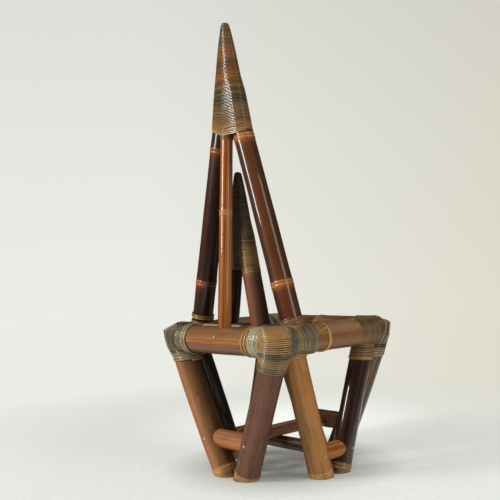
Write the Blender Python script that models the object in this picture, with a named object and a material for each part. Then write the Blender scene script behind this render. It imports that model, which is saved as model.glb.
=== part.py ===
"""Bamboo chair: a square seat frame on eight splayed legs, with a tall and a short wound spire.

Units are metres and +Z is up. The origin lies on the floor under the middle of the seat.
The chair faces -Y, its left side is +X, and both spires rise along its back, at +Y.
"""

import math

import bmesh
import bpy
import numpy as np
from mathutils import Vector

# Fit between pieces
GAP = 0.0003

# Seat frame: four mitred rails, and the inner rail that carries the spires
RAIL_SPACING = 0.435
RAIL_RADIUS = 0.0415
RAIL_BORE = 0.032
RAIL_HEIGHT = 0.405
SIDE_RAIL_RISE = 0.0035
CORNER_REACH = 0.045
CORNER_LEAN = 0.33
CROSS_RAIL_RADIUS = 0.0265
CROSS_RAIL_BORE = 0.0185
CROSS_RAIL_RISE = 0.0185
CROSS_RAIL_SPACE = 0.0115

# Legs: two at each corner, drawn together in pairs at the floor
BACK_LEG_RADIUS = 0.038
SIDE_LEG_RADIUS = 0.035
LEG_BORE = 0.026
BACK_LEG_OUTSET = 0.0035
SIDE_LEG_INSET = 0.0525
FOOT_SPACE = 0.008
FOOT_TUCK = 0.0214
LEG_PARTING_SHARE = 0.7

# Stretchers: a short one in each pair of legs, and two long bars crossed over the floor
BACK_STRETCHER_RADIUS = 0.0275
SIDE_STRETCHER_RADIUS = 0.025
STRETCHER_TENON = 0.0185
STRETCHER_BORE = 0.0122
CROSS_BAR_RADIUS = 0.0195
CROSS_BAR_TENON = 0.0135
CROSS_BAR_BORE = 0.0085
LOWER_BAR_HEIGHT = 0.069

# Tall spire: two main poles and a thin centre pole
TALL_APEX_HEIGHT = 1.3585
TALL_APEX_SETBACK = 0.054
TALL_WRAP_LENGTH = 0.3335
MAIN_POLE_RADIUS = 0.0325
MAIN_POLE_NECK = 0.0305
MAIN_POLE_BORE = 0.020
MAIN_POLE_INSET = 0.013
MAIN_POLE_CROSSING = 0.0444
MAIN_RING_RISE = 0.125
MAIN_RING_DROP = 0.040
CENTRE_POLE_RADIUS = 0.0205
CENTRE_POLE_NECK = 0.0185
CENTRE_POLE_TENON = 0.0145
CENTRE_POLE_BORE = 0.009
CENTRE_POLE_CROSSING = 0.0125
CENTRE_RING_DROP = 0.2425

# Short spire: two poles on the inner rail
SHORT_APEX_HEIGHT = 0.908
SHORT_APEX_SETBACK = 0.0787
SHORT_WRAP_LENGTH = 0.296
SHORT_POLE_SPACING = 0.1406
SHORT_POLE_CROSSING = 0.0184
SHORT_POLE_RADIUS = 0.0288
SHORT_POLE_NECK = 0.027
SHORT_POLE_TENON = 0.016
SHORT_POLE_BORE = 0.011

# Spire ends: the room under a saddle, where the shaved poles end in the wound length, and the blunt point
SADDLE_ROOM = 0.0025
POLE_END_SHARE = 0.315
POLE_END_TAPER = 0.3
TIP_RADIUS = 0.006

# Raised rings of the stems
RING_RISE = 0.0022
RING_HALF_WIDTH = 0.006
FOOT_RING_HEIGHT = 0.018

# Rattan: the layer over a corner or a spire, and the round strands of windings, lashings and ties
WRAP_THICKNESS = 0.005
BACK_WRAP_REACH = 0.078
SIDE_WRAP_REACH = 0.1315
STRAND_RADIUS = 0.003
STRAND_SPACE = 0.0012
TALL_LOOPS = 14
SHORT_LOOPS = 8
LASHING_LOOPS = 2
TIE_LOOPS = 2
LOOP_POINTS = 16
LOOP_SHIFT = 0.1
TIE_POINTS = 12
POLE_TIE_SPACE = 0.005

# Seat deck: split slats on two bearers
SLAT_COUNT = 7
SLAT_END_SPACE = 0.009
SLAT_THICKNESS = 0.008
SLAT_CROWN = 0.002
SLAT_SPACE = 0.004
BEARER_RADIUS = 0.013
BEARER_BORE = 0.008
BEARER_SPACING = 0.210
BEARER_DROP = 0.007

# Tenons on the ends of stems, and the pegs that lock them
TENON_DEPTH = 0.020
TENON_OVERRUN = 0.009
PEG_RADIUS = 0.004
PEG_HEAD = 0.0015
PEG_DEPTH = 0.0185
CENTRE_PEG_RISE = 0.013

# Facets
STEM_SIDES = 16
BORE_SIDES = 10
PEG_SIDES = 8

# Spare length of cutters past what they cut
SPARE = 0.02

# Colours, as display values from 0 to 255
TAN = (135, 88, 50)
LIGHT_TAN = (150, 104, 64)
MAUVE_BROWN = (115, 80, 68)
RED_BROWN = (95, 45, 25)
ORANGE_BROWN = (150, 82, 32)
DARK_BROWN = (52, 30, 22)
BLACK_BROWN = (40, 24, 20)
OLIVE_RATTAN = (112, 104, 82)
TAN_RATTAN = (150, 122, 82)
GOLD_RATTAN = (200, 155, 80)
PEG_WOOD = (190, 165, 125)
STEM_GLOSS = 0.3
RATTAN_GLOSS = 0.5

# Places worked out from the sizes above
HALF = RAIL_SPACING / 2
SIDE_RAIL_HEIGHT = RAIL_HEIGHT + SIDE_RAIL_RISE
CROSS_RAIL_HEIGHT = RAIL_HEIGHT + CROSS_RAIL_RISE
CROSS_RAIL_TOP = CROSS_RAIL_HEIGHT + CROSS_RAIL_RADIUS
CROSS_RAIL_Y = HALF - RAIL_RADIUS - CROSS_RAIL_SPACE - CROSS_RAIL_RADIUS
SADDLE_DEPTH = CROSS_RAIL_RADIUS - SADDLE_ROOM
WRAP_TOP = SIDE_RAIL_HEIGHT + RAIL_RADIUS + WRAP_THICKNESS
BACK_FOOT_SPACING = 2 * BACK_LEG_RADIUS + FOOT_SPACE
SIDE_FOOT_SPACING = 2 * SIDE_LEG_RADIUS + FOOT_SPACE
UPPER_BAR_HEIGHT = LOWER_BAR_HEIGHT + 2 * CROSS_BAR_RADIUS + GAP
TALL_WRAP_HEIGHT = TALL_APEX_HEIGHT - TALL_WRAP_LENGTH
SHORT_WRAP_HEIGHT = SHORT_APEX_HEIGHT - SHORT_WRAP_LENGTH
MAIN_POLE_RINGS = (CROSS_RAIL_TOP + MAIN_RING_RISE, TALL_WRAP_HEIGHT - MAIN_RING_DROP)
CENTRE_POLE_RINGS = (TALL_WRAP_HEIGHT - CENTRE_RING_DROP,)
BEARER_HEIGHT = RAIL_HEIGHT - BEARER_DROP
SLAT_LENGTH = RAIL_SPACING - 2 * (RAIL_RADIUS + WRAP_THICKNESS + SLAT_END_SPACE)
UP = Vector((0, 0, 1))


def linear(channel):
    """Turn a display value from 0 to 255 into scene light."""
    share = channel / 255
    return share / 12.92 if share <= 0.04045 else ((share + 0.055) / 1.055) ** 2.4


def paint(piece, colour, roughness):
    """Give a piece its own plain material."""
    material = bpy.data.materials.new(piece.name)
    material.use_nodes = True
    shader = material.node_tree.nodes["Principled BSDF"]
    shader.inputs["Base Color"].default_value = (*(linear(c) for c in colour), 1.0)
    shader.inputs["Roughness"].default_value = roughness
    shader.inputs["Metallic"].default_value = 0.0
    piece.data.materials.append(material)


def link(name, data):
    """Put mesh or curve data into the scene as an object of the chair."""
    piece = bpy.data.objects.new(name, data)
    bpy.context.scene.collection.objects.link(piece)
    piece.parent = chair
    return piece


def finish_mesh(name, body):
    """Close a bmesh into a smooth-shaded mesh with its faces pointing out."""
    bmesh.ops.recalc_face_normals(body, faces=body.faces)
    mesh = bpy.data.meshes.new(name)
    body.to_mesh(mesh)
    body.free()
    mesh.shade_smooth()
    mesh.set_sharp_from_angle(angle=math.radians(35))
    return mesh


def hide(piece):
    """Mark a piece as a cutter."""
    piece.hide_render = True
    piece.display_type = "WIRE"
    return piece


def boolean(target, tool, operation="DIFFERENCE"):
    """Cut a tool out of a target, or join it on."""
    modifier = target.modifiers.new(tool.name, "BOOLEAN")
    modifier.operation = operation
    modifier.solver = "EXACT"
    modifier.object = tool


def trim(body, point, normal):
    """Cut a body along a plane and cap it: what lies on the normal's side goes."""
    everything = body.verts[:] + body.edges[:] + body.faces[:]
    result = bmesh.ops.bisect_plane(
        body, geom=everything, plane_co=point, plane_no=normal, dist=1e-7, clear_outer=True
    )
    rim = [item for item in result["geom_cut"] if isinstance(item, bmesh.types.BMEdge)]
    if rim:
        bmesh.ops.edgeloop_fill(body, edges=rim)


def rod_body(stations, sides):
    """Closed round rod along +Z through (distance, radius) stations."""
    body = bmesh.new()
    rings = []
    for distance, radius in stations:
        ring = []
        for side in range(sides):
            angle = math.tau * side / sides
            ring.append(body.verts.new((radius * math.cos(angle), radius * math.sin(angle), distance)))
        rings.append(ring)
    for lower, upper in zip(rings, rings[1:]):
        for side in range(sides):
            after = (side + 1) % sides
            body.faces.new((lower[side], lower[after], upper[after], upper[side]))
    body.faces.new(reversed(rings[0]))
    body.faces.new(rings[-1])
    return body


def rod(name, start, end, radius, sides):
    """Plain rod from a start to an end."""
    piece = link(name, finish_mesh(name, rod_body(((0, radius), ((end - start).length, radius)), sides)))
    piece.location = start
    piece.rotation_mode = "QUATERNION"
    piece.rotation_quaternion = (end - start).to_track_quat("Z", "Y")
    return piece


def hole(start, end, radius, sides):
    """Cutter for a rod, one clearance larger all round."""
    room = GAP / math.cos(math.pi / sides)
    longer = (end - start).normalized() * GAP
    return hide(rod("hole_cutter", start - longer, end + longer, radius + room, sides))


class Stem:
    """A bamboo stem on a straight axis: profile of (distance, radius), bore, rings and end cuts."""

    def __init__(self, start, end, profile, bore, bore_end=None, rings=(), trims=()):
        self.start = Vector(start)
        self.end = Vector(end)
        self.axis = (self.end - self.start).normalized()
        self.length = (self.end - self.start).length
        self.profile = profile
        self.bore = bore
        self.bore_end = self.length + 2 * SPARE if bore_end is None else bore_end
        self.rings = rings
        self.trims = trims
        self.tool = None

    def radius(self, distance):
        """Plain radius at a distance along the axis."""
        return float(np.interp(distance, *zip(*self.profile)))

    def at(self, distance):
        """Point of the axis at a distance from the start."""
        return self.start + self.axis * distance

    def at_height(self, height):
        """Point of the axis at a height above the floor."""
        return self.at((height - self.start.z) / self.axis.z)

    def placed(self, name, stations, grow):
        """Rod through the stations on this stem's axis, with its end cuts moved out by grow."""
        turn = self.axis.to_track_quat("Z", "Y")
        body = rod_body(stations, STEM_SIDES)
        for point, normal in self.trims:
            moved = point + normal * grow - self.start
            trim(body, turn.inverted() @ moved, turn.inverted() @ normal)
        piece = link(name, finish_mesh(name, body))
        piece.location = self.start
        piece.rotation_mode = "QUATERNION"
        piece.rotation_quaternion = turn
        return piece

    def stations(self):
        """Outline with a raised ring at each named distance."""
        marks = list(self.profile)
        for ring in self.rings:
            for shift, rise in ((-RING_HALF_WIDTH, 0), (0, RING_RISE), (RING_HALF_WIDTH, 0)):
                marks.append((ring + shift, self.radius(ring + shift) + rise))
        return sorted(marks)

    def cutter(self):
        """Rod that is one clearance larger than the stem, for cutting its neighbours."""
        if self.tool is None:
            room = GAP / math.cos(math.pi / STEM_SIDES)
            marks = [(distance, radius + room) for distance, radius in self.profile]
            marks[0] = (marks[0][0] - GAP, marks[0][1])
            marks[-1] = (marks[-1][0] + GAP, marks[-1][1])
            self.tool = hide(self.placed("stem_cutter", marks, GAP))
        return self.tool

    def build(self, name, colour, carriers=(), tenons=(), holes=()):
        """Make the stem: fitted to what carries it, with its tenons, its bore and the holes in it."""
        piece = self.placed(name, self.stations(), 0)
        for stem in carriers:
            boolean(piece, stem.cutter())
        for place in tenons:
            boolean(piece, hide(rod("tenon_rod", *place, BORE_SIDES)), "UNION")
        first = self.at(-2 * SPARE)
        boolean(piece, hide(rod("bore_cutter", first, self.at(self.bore_end), self.bore, BORE_SIDES)))
        for tool in holes:
            boolean(piece, tool)
        paint(piece, colour, STEM_GLOSS)


def plain_stem(start, end, radius, bore, rings=(), trims=()):
    """Stem of one radius, open at both ends."""
    length = (Vector(end) - Vector(start)).length
    return Stem(start, end, ((0, radius), (length, radius)), bore, rings=rings, trims=trims)


# Corners and their cuts

def corner_cuts(x_side, y_side, inset):
    """Mitre planes of a corner for its back or front pieces and its side pieces, and the slanted end."""
    corner = Vector((x_side * HALF, y_side * HALF, 0))
    across = Vector((x_side, -y_side, 0)).normalized()
    outward = Vector((x_side, y_side, 0)).normalized()
    slant = (outward - UP * CORNER_LEAN).normalized()
    end = corner + outward * CORNER_REACH + UP * SIDE_RAIL_HEIGHT - slant * inset
    along_x = (corner - across * GAP / 2, across)
    along_y = (corner + across * GAP / 2, -across)
    return along_x, along_y, (end, slant)


RAIL_END_INSET = WRAP_THICKNESS + GAP
CORNERS = {
    "back_left": (1, 1),
    "back_right": (-1, 1),
    "front_left": (1, -1),
    "front_right": (-1, -1),
}
RAIL_END = HALF + 2 * RAIL_RADIUS


def x_rail(y_side):
    """Back or front rail, mitred at both ends."""
    trims = []
    for x_side in (1, -1):
        mitre, _, slant = corner_cuts(x_side, y_side, RAIL_END_INSET)
        trims += [mitre, slant]
    y = y_side * HALF
    start = (-RAIL_END, y, RAIL_HEIGHT)
    end = (RAIL_END, y, RAIL_HEIGHT)
    return plain_stem(start, end, RAIL_RADIUS, RAIL_BORE, trims=trims)


def y_rail(x_side):
    """Left or right rail, mitred at both ends."""
    trims = []
    for y_side in (1, -1):
        _, mitre, slant = corner_cuts(x_side, y_side, RAIL_END_INSET)
        trims += [mitre, slant]
    x = x_side * HALF
    start = (x, -RAIL_END, SIDE_RAIL_HEIGHT)
    end = (x, RAIL_END, SIDE_RAIL_HEIGHT)
    return plain_stem(start, end, RAIL_RADIUS, RAIL_BORE, trims=trims)


def leg_ends(x_side, y_side):
    """Foot and top of both legs of a corner: the back or front one, then the side one."""
    first = (
        Vector((x_side * BACK_FOOT_SPACING / 2, y_side * (HALF - FOOT_TUCK), 0)),
        Vector((x_side * (HALF + BACK_LEG_OUTSET), y_side * HALF, RAIL_HEIGHT)),
    )
    second = (
        Vector((x_side * (HALF - FOOT_TUCK), y_side * SIDE_FOOT_SPACING / 2, 0)),
        Vector((x_side * HALF, y_side * (HALF - SIDE_LEG_INSET), SIDE_RAIL_HEIGHT)),
    )
    return first, second


def leg_parting(x_side, y_side):
    """Plane between the two legs of a corner: a point between their faces under the rails, and its normal."""
    first, second = leg_ends(x_side, y_side)
    under = 1 - RAIL_RADIUS / RAIL_HEIGHT
    start = first[0].lerp(first[1], under)
    between = second[0].lerp(second[1], under) - start
    apart = second[0].lerp(second[1], LEG_PARTING_SHARE) - first[0].lerp(first[1], LEG_PARTING_SHARE)
    normal = Vector((apart.x, apart.y, 0)).normalized()
    reach = (between.dot(normal) + BACK_LEG_RADIUS - SIDE_LEG_RADIUS) / 2
    return start + normal * reach, normal


def leg(ends, radius, corner, parting):
    """Leg from below the floor line to the rail's axis, cut flat at the floor and parted from its pair."""
    foot, top = ends
    axis = (top - foot).normalized()
    start = foot - axis * 2 * SPARE
    ring = (foot - start).length + FOOT_RING_HEIGHT
    floor = (Vector((0, 0, 0)), -UP)
    point, normal = parting
    cut = (point - normal * GAP / 2, normal)
    slant = corner_cuts(*corner, RAIL_END_INSET + GAP / 2)[2]
    return plain_stem(start, top, radius, LEG_BORE, rings=(ring,), trims=(floor, cut, slant))


def x_leg(x_side, y_side):
    """Leg in the plane of the back or front rail."""
    corner = (x_side, y_side)
    return leg(leg_ends(*corner)[0], BACK_LEG_RADIUS, corner, leg_parting(*corner))


def y_leg(x_side, y_side):
    """Leg in the plane of the left or right rail."""
    corner = (x_side, y_side)
    point, normal = leg_parting(*corner)
    return leg(leg_ends(*corner)[1], SIDE_LEG_RADIUS, corner, (point, -normal))


def spire_pole(foot, aim, wrap_height, radius, neck, bore, ring_heights=()):
    """Pole from a saddle below its foot towards a point level with the apex, with a taper in the winding."""
    foot = Vector(foot)
    axis = (aim - foot).normalized()
    start = foot - axis * SADDLE_DEPTH
    neck_at = (wrap_height - start.z) / axis.z
    end_at = neck_at + ((aim - start).length - neck_at) * POLE_END_SHARE
    profile = ((0, radius), (neck_at, neck), (end_at, neck * POLE_END_TAPER))
    rings = [(height - start.z) / axis.z for height in ring_heights]
    return Stem(start, start + axis * end_at, profile, bore, bore_end=neck_at, rings=rings)


# Outlines round several stems

def flat(vector):
    """Floor-plane part of a vector."""
    return np.array((vector.x, vector.y))


def section(stem, height, radius):
    """Level section of a round stem: its centre and the half axes of its ellipse."""
    lean = flat(stem.axis)
    steep = stem.axis.z
    stretch = np.eye(2)
    if np.linalg.norm(lean) > 0:
        along = lean / np.linalg.norm(lean)
        stretch = stretch + (1 / steep - 1) * np.outer(along, along)
    return flat(stem.at_height(height)), stretch * radius


def section_point(place, angle):
    """Point of a section that faces an angle, and how far it reaches that way."""
    centre, axes = place
    facing = np.array((math.cos(angle), math.sin(angle)))
    spread = axes.T @ facing
    point = centre + axes @ spread / np.linalg.norm(spread)
    return point, float(point @ facing)


def outline_point(sections, angle):
    """Point of the tight outline round the sections that faces an angle."""
    return max((section_point(place, angle) for place in sections), key=lambda found: found[1])[0]


def tangent_angle(first, second, inside, outside):
    """Angle between two others at which the tight outline goes over from one section to the next."""
    for _ in range(40):
        angle = (inside + outside) / 2
        if section_point(first, angle)[1] > section_point(second, angle)[1]:
            inside = angle
        else:
            outside = angle
    return inside


def loop_angle(step):
    """Direction of a point on a loop, a little off the axes so that no two stems tie for it."""
    return math.tau * (step + LOOP_SHIFT) / LOOP_POINTS


class Spire:
    """Wound tip of a spire: the tight outline round its poles, drawn in to the apex."""

    def __init__(self, poles, apex, wrap_height):
        self.poles = poles
        self.apex = apex
        self.wrap_height = wrap_height
        widest = max(
            np.linalg.norm(flat(pole.at_height(wrap_height)) - flat(apex)) + pole.radius(pole.bore_end)
            for pole in poles
        )
        self.slope = math.atan2(widest, apex.z - wrap_height)

    def point(self, share, angle, extra):
        """Point of the outline, with share 1 at the foot of the winding and 0 at the apex."""
        tip = flat(self.apex)
        sections = []
        for pole in self.poles:
            centre = flat(pole.at_height(self.wrap_height))
            full = pole.radius(pole.bore_end) + WRAP_THICKNESS
            radius = TIP_RADIUS + (full - TIP_RADIUS) * share + extra
            sections.append((tip + (centre - tip) * share, np.eye(2) * radius))
        x, y = outline_point(sections, angle)
        return Vector((x, y, self.apex.z + (self.wrap_height - self.apex.z) * share))

    def core(self, name):
        """Packed core under the winding, open round the shaved poles."""
        body = bmesh.new()
        rings = []
        for share in (1.0, 0.5, 0.0):
            angles = [loop_angle(side) for side in range(LOOP_POINTS)]
            rings.append([body.verts.new(self.point(share, angle, 0)) for angle in angles])
        for lower, upper in zip(rings, rings[1:]):
            for side in range(LOOP_POINTS):
                after = (side + 1) % LOOP_POINTS
                body.faces.new((lower[side], lower[after], upper[after], upper[side]))
        body.faces.new(reversed(rings[0]))
        body.faces.new(rings[-1])
        piece = link(name, finish_mesh(name, body))
        for pole in self.poles:
            boolean(piece, pole.cutter())
        paint(piece, OLIVE_RATTAN, RATTAN_GLOSS)

    def winding(self, name, loops):
        """One strand wound from the foot of the core to its tip."""
        offset = (STRAND_RADIUS + GAP) / math.cos(math.pi / LOOP_POINTS) / math.cos(self.slope)
        margin = 2 * STRAND_RADIUS / (self.apex.z - self.wrap_height)
        steps = loops * LOOP_POINTS
        points = []
        for step in range(steps + 1):
            share = 1 - margin - (1 - 2 * margin) * step / steps
            points.append(self.point(share, loop_angle(step), offset))
        strands(name, [points], OLIVE_RATTAN)


# Strands

def run_out(points):
    """Lengthen both ends of a strand straight on by one strand diameter."""
    first = (points[0] - points[1]).normalized() * 2 * STRAND_RADIUS
    last = (points[-1] - points[-2]).normalized() * 2 * STRAND_RADIUS
    return [points[0] + first, *points, points[-1] + last]


def least_gap(points, loop_points):
    """Least clear space between the turns of one strand, measured on points along it."""
    parts = 4
    fine = []
    for before, after in zip(points, points[1:]):
        fine += [before.lerp(after, part / parts) for part in range(parts)]
    fine = np.array(fine)
    away = loop_points * parts // 2
    best = math.inf
    for index in range(len(fine) - away):
        best = min(best, np.linalg.norm(fine[index + away:] - fine[index], axis=1).min())
    return best - 2 * STRAND_RADIUS


def strands(name, paths, colour, loop_points=LOOP_POINTS):
    """Round strands along paths, each one unbroken tube, as one object."""
    curve = bpy.data.curves.new(name, "CURVE")
    curve.dimensions = "3D"
    curve.bevel_depth = STRAND_RADIUS
    curve.bevel_resolution = 1
    curve.use_fill_caps = True
    for path in paths:
        points = run_out(path)
        spline = curve.splines.new("POLY")
        spline.points.add(len(points) - 1)
        for slot, point in zip(spline.points, points):
            slot.co = (*point, 1.0)
        print(f"{name}: least gap between turns {least_gap(points, loop_points) * 1000:.2f} mm")
    paint(link(name, curve), colour, RATTAN_GLOSS)


def tie_path(start, axis, radius):
    """Turns of a tie round one stem, from a point of its axis onwards."""
    room = (radius + STRAND_RADIUS + GAP) / math.cos(math.pi / TIE_POINTS)
    pitch = 2 * STRAND_RADIUS + STRAND_SPACE
    side = axis.orthogonal().normalized()
    other = axis.cross(side)
    steps = TIE_LOOPS * TIE_POINTS
    points = []
    for step in range(steps + 1):
        angle = math.tau * step / TIE_POINTS
        out = side * math.cos(angle) + other * math.sin(angle)
        points.append(start + axis * pitch * step / TIE_POINTS + out * room)
    return points


def lashing_path(stems, radii, top):
    """Turns of a lashing round a pair of legs, from a height downwards, straight between the legs."""
    pitch = 2 * STRAND_RADIUS + STRAND_SPACE
    half = LOOP_POINTS // 2
    scale = math.cos(math.pi / (LOOP_POINTS - 2))
    points = []
    for step in range(LASHING_LOOPS * LOOP_POINTS + 1):
        height = top - pitch * step / LOOP_POINTS
        rooms = [(radius + STRAND_RADIUS + GAP) / scale for radius in radii]
        pair = [section(stem, height, room) for stem, room in zip(stems, rooms)]
        apart = pair[0][0] - pair[1][0]
        facing = math.atan2(apart[1], apart[0])
        leave = tangent_angle(*pair, facing, facing + math.pi)
        enter = tangent_angle(*pair, facing, facing - math.pi)
        index, part = divmod(step % LOOP_POINTS, half)
        first, last = ((enter, leave), (leave, enter + math.tau))[index]
        (x, y), _ = section_point(pair[index], first + (last - first) * part / (half - 1))
        points.append(Vector((x, y, height)))
    return points


# The chair starts from an empty scene
for old in list(bpy.data.objects):
    bpy.data.objects.remove(old, do_unlink=True)
chair = bpy.data.objects.new("bamboo_chair", None)
bpy.context.scene.collection.objects.link(chair)

# Stems: axes and outlines, before anything is cut
back_rail = x_rail(1)
front_rail = x_rail(-1)
left_rail = y_rail(1)
right_rail = y_rail(-1)
cross_start = (-HALF, CROSS_RAIL_Y, CROSS_RAIL_HEIGHT)
cross_end = (HALF, CROSS_RAIL_Y, CROSS_RAIL_HEIGHT)
cross_rail = plain_stem(cross_start, cross_end, CROSS_RAIL_RADIUS, CROSS_RAIL_BORE)
x_legs = {sides: x_leg(*sides) for sides in CORNERS.values()}
y_legs = {sides: y_leg(*sides) for sides in CORNERS.values()}

tall_apex = Vector((0, HALF - TALL_APEX_SETBACK, TALL_APEX_HEIGHT))
short_apex = Vector((0, HALF - SHORT_APEX_SETBACK, SHORT_APEX_HEIGHT))
main_poles = {}
short_poles = {}
for x_side in (1, -1):
    foot = (x_side * (HALF - MAIN_POLE_INSET), CROSS_RAIL_Y, CROSS_RAIL_TOP)
    aim = tall_apex - Vector((x_side * MAIN_POLE_CROSSING, 0, 0))
    main_poles[x_side] = spire_pole(
        foot, aim, TALL_WRAP_HEIGHT, MAIN_POLE_RADIUS, MAIN_POLE_NECK, MAIN_POLE_BORE,
        MAIN_POLE_RINGS,
    )
    foot = (x_side * SHORT_POLE_SPACING / 2, CROSS_RAIL_Y, CROSS_RAIL_TOP)
    aim = short_apex - Vector((x_side * SHORT_POLE_CROSSING, 0, 0))
    short_poles[x_side] = spire_pole(
        foot, aim, SHORT_WRAP_HEIGHT, SHORT_POLE_RADIUS, SHORT_POLE_NECK, SHORT_POLE_BORE,
    )
foot = (0, HALF, RAIL_HEIGHT + RAIL_RADIUS)
aim = tall_apex - Vector((0, CENTRE_POLE_CROSSING, 0))
centre_pole = spire_pole(
    foot, aim, TALL_WRAP_HEIGHT, CENTRE_POLE_RADIUS, CENTRE_POLE_NECK, CENTRE_POLE_BORE,
    CENTRE_POLE_RINGS,
)

# Stretchers run between the axes of a pair of legs, and the crossed bars between the stretchers
stretchers = {}
for name, y_side in (("back", 1), ("front", -1)):
    ends = [x_legs[x_side, y_side].at_height(UPPER_BAR_HEIGHT) for x_side in (-1, 1)]
    stretchers[name] = plain_stem(*ends, BACK_STRETCHER_RADIUS, STRETCHER_BORE)
for name, x_side in (("left", 1), ("right", -1)):
    ends = [y_legs[x_side, y_side].at_height(LOWER_BAR_HEIGHT) for y_side in (-1, 1)]
    stretchers[name] = plain_stem(*ends, SIDE_STRETCHER_RADIUS, STRETCHER_BORE)


def middle(stem):
    """Middle of a stem's axis."""
    return (stem.start + stem.end) / 2


upper_bar = plain_stem(
    middle(stretchers["front"]), middle(stretchers["back"]), CROSS_BAR_RADIUS, CROSS_BAR_BORE
)
lower_bar = plain_stem(
    middle(stretchers["right"]), middle(stretchers["left"]), CROSS_BAR_RADIUS, CROSS_BAR_BORE
)
bearers = {}
for x_side in (1, -1):
    x = x_side * BEARER_SPACING / 2
    start = (x, -HALF, BEARER_HEIGHT)
    end = (x, CROSS_RAIL_Y, BEARER_HEIGHT)
    bearers[x_side] = plain_stem(start, end, BEARER_RADIUS, BEARER_BORE)


# Tenons as (start, end, radius), and pegs

def through_tenon(stem, radius):
    """Tenon on both ends of a stretcher, past the axes of what carries it."""
    overrun = stem.axis * TENON_OVERRUN
    return (stem.start - overrun, stem.end + overrun, radius)


def foot_tenon(stem, carrier_height, carrier_radius, radius):
    """Tenon on the foot of a pole, from its carrier's axis to inside the pole."""
    base = stem.at_height(carrier_height)
    return (base - stem.axis * TENON_OVERRUN, base + stem.axis * (carrier_radius + TENON_DEPTH), radius)


def peg(name, point, outward, carrier_radius):
    """Peg from its head on the carrier's surface to past the tenon, and the cutter for its hole."""
    place = (point + outward * (carrier_radius + PEG_HEAD), point - outward * PEG_DEPTH, PEG_RADIUS)
    paint(rod(name, *place, PEG_SIDES), PEG_WOOD, RATTAN_GLOSS)
    return hole(*place, PEG_SIDES)


side_names = {1: "left", -1: "right"}
end_names = {1: "back", -1: "front"}
stretcher_tenons = {name: through_tenon(stem, STRETCHER_TENON) for name, stem in stretchers.items()}
stretcher_pegs = {}
for name, stem in stretchers.items():
    on_x = name in end_names.values()
    leg_radius = BACK_LEG_RADIUS if on_x else SIDE_LEG_RADIUS
    outward = middle(stem) * Vector((1, 1, 0))
    outward.normalize()
    ends = side_names if on_x else end_names
    stretcher_pegs[name] = [
        peg(f"{name}_stretcher_peg_{ends[side]}", point, outward, leg_radius)
        for side, point in ((-1, stem.start), (1, stem.end))
    ]
centre_tenon = foot_tenon(centre_pole, RAIL_HEIGHT, RAIL_RADIUS, CENTRE_POLE_TENON)
short_tenons = {
    x_side: foot_tenon(stem, CROSS_RAIL_HEIGHT, CROSS_RAIL_RADIUS, SHORT_POLE_TENON)
    for x_side, stem in short_poles.items()
}
bar_tenons = {
    "upper": (upper_bar.start, upper_bar.end, CROSS_BAR_TENON),
    "lower": (lower_bar.start, lower_bar.end, CROSS_BAR_TENON),
}

# Slats: as many as the count says, between the front rail and the inner rail
deck_front = -HALF + RAIL_RADIUS + WRAP_THICKNESS + SLAT_SPACE
deck_back = CROSS_RAIL_Y - CROSS_RAIL_RADIUS - SLAT_SPACE
slat_pitch = (deck_back - deck_front + SLAT_SPACE) / SLAT_COUNT
slat_width = slat_pitch - SLAT_SPACE
slat_bottom = BEARER_HEIGHT + BEARER_RADIUS + GAP
slat_rows = [deck_front + slat_pitch * index + slat_width / 2 for index in range(SLAT_COUNT)]


def slat(name, y):
    """Split bamboo slat: flat below and crowned on top."""
    body = bmesh.new()
    half = slat_width / 2
    edge = SLAT_THICKNESS - SLAT_CROWN
    outline = [(-half, 0), (half, 0)]
    for turn in np.linspace(1, -1, 5):
        outline.append((half * turn, edge + SLAT_CROWN * (1 - turn ** 2)))
    near = [body.verts.new((-SLAT_LENGTH / 2, across, up)) for across, up in outline]
    body.faces.new(near)
    grown = bmesh.ops.extrude_face_region(body, geom=body.faces[:])
    moved = [item for item in grown["geom"] if isinstance(item, bmesh.types.BMVert)]
    bmesh.ops.translate(body, vec=(SLAT_LENGTH, 0, 0), verts=moved)
    piece = link(name, finish_mesh(name, body))
    piece.location = (0, y, slat_bottom)
    return piece


# Seat frame
x_rails = {1: back_rail, -1: front_rail}
y_rails = {1: left_rail, -1: right_rail}
centre_base = Vector((0, HALF, RAIL_HEIGHT + CENTRE_PEG_RISE))
centre_peg_hole = peg("centre_pole_peg", centre_base, Vector((0, 1, 0)), RAIL_RADIUS)
back_rail.build("back_seat_rail", TAN, holes=(hole(*centre_tenon, BORE_SIDES), centre_peg_hole))
front_rail.build("front_seat_rail", TAN)
left_rail.build("left_seat_rail", RED_BROWN)
right_rail.build("right_seat_rail", RED_BROWN)
short_holes = [hole(*place, BORE_SIDES) for place in short_tenons.values()]
cross_rail.build("spire_cross_rail", DARK_BROWN, (left_rail, right_rail), holes=short_holes)

# Legs
stretcher_holes = {
    name: [hole(*place, BORE_SIDES), *stretcher_pegs[name]] for name, place in stretcher_tenons.items()
}
for (x_side, y_side), stem in x_legs.items():
    rails = (x_rails[y_side], y_rails[x_side])
    colour = LIGHT_TAN if x_side > 0 else MAUVE_BROWN
    name = f"{end_names[y_side]}_leg_{side_names[x_side]}"
    stem.build(name, colour, rails, holes=stretcher_holes[end_names[y_side]])
for (x_side, y_side), stem in y_legs.items():
    rails = (x_rails[y_side], y_rails[x_side])
    colour = LIGHT_TAN if (x_side, y_side) == (-1, 1) else DARK_BROWN
    name = f"{side_names[x_side]}_leg_{end_names[y_side]}"
    stem.build(name, colour, rails, holes=stretcher_holes[side_names[x_side]])

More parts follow.
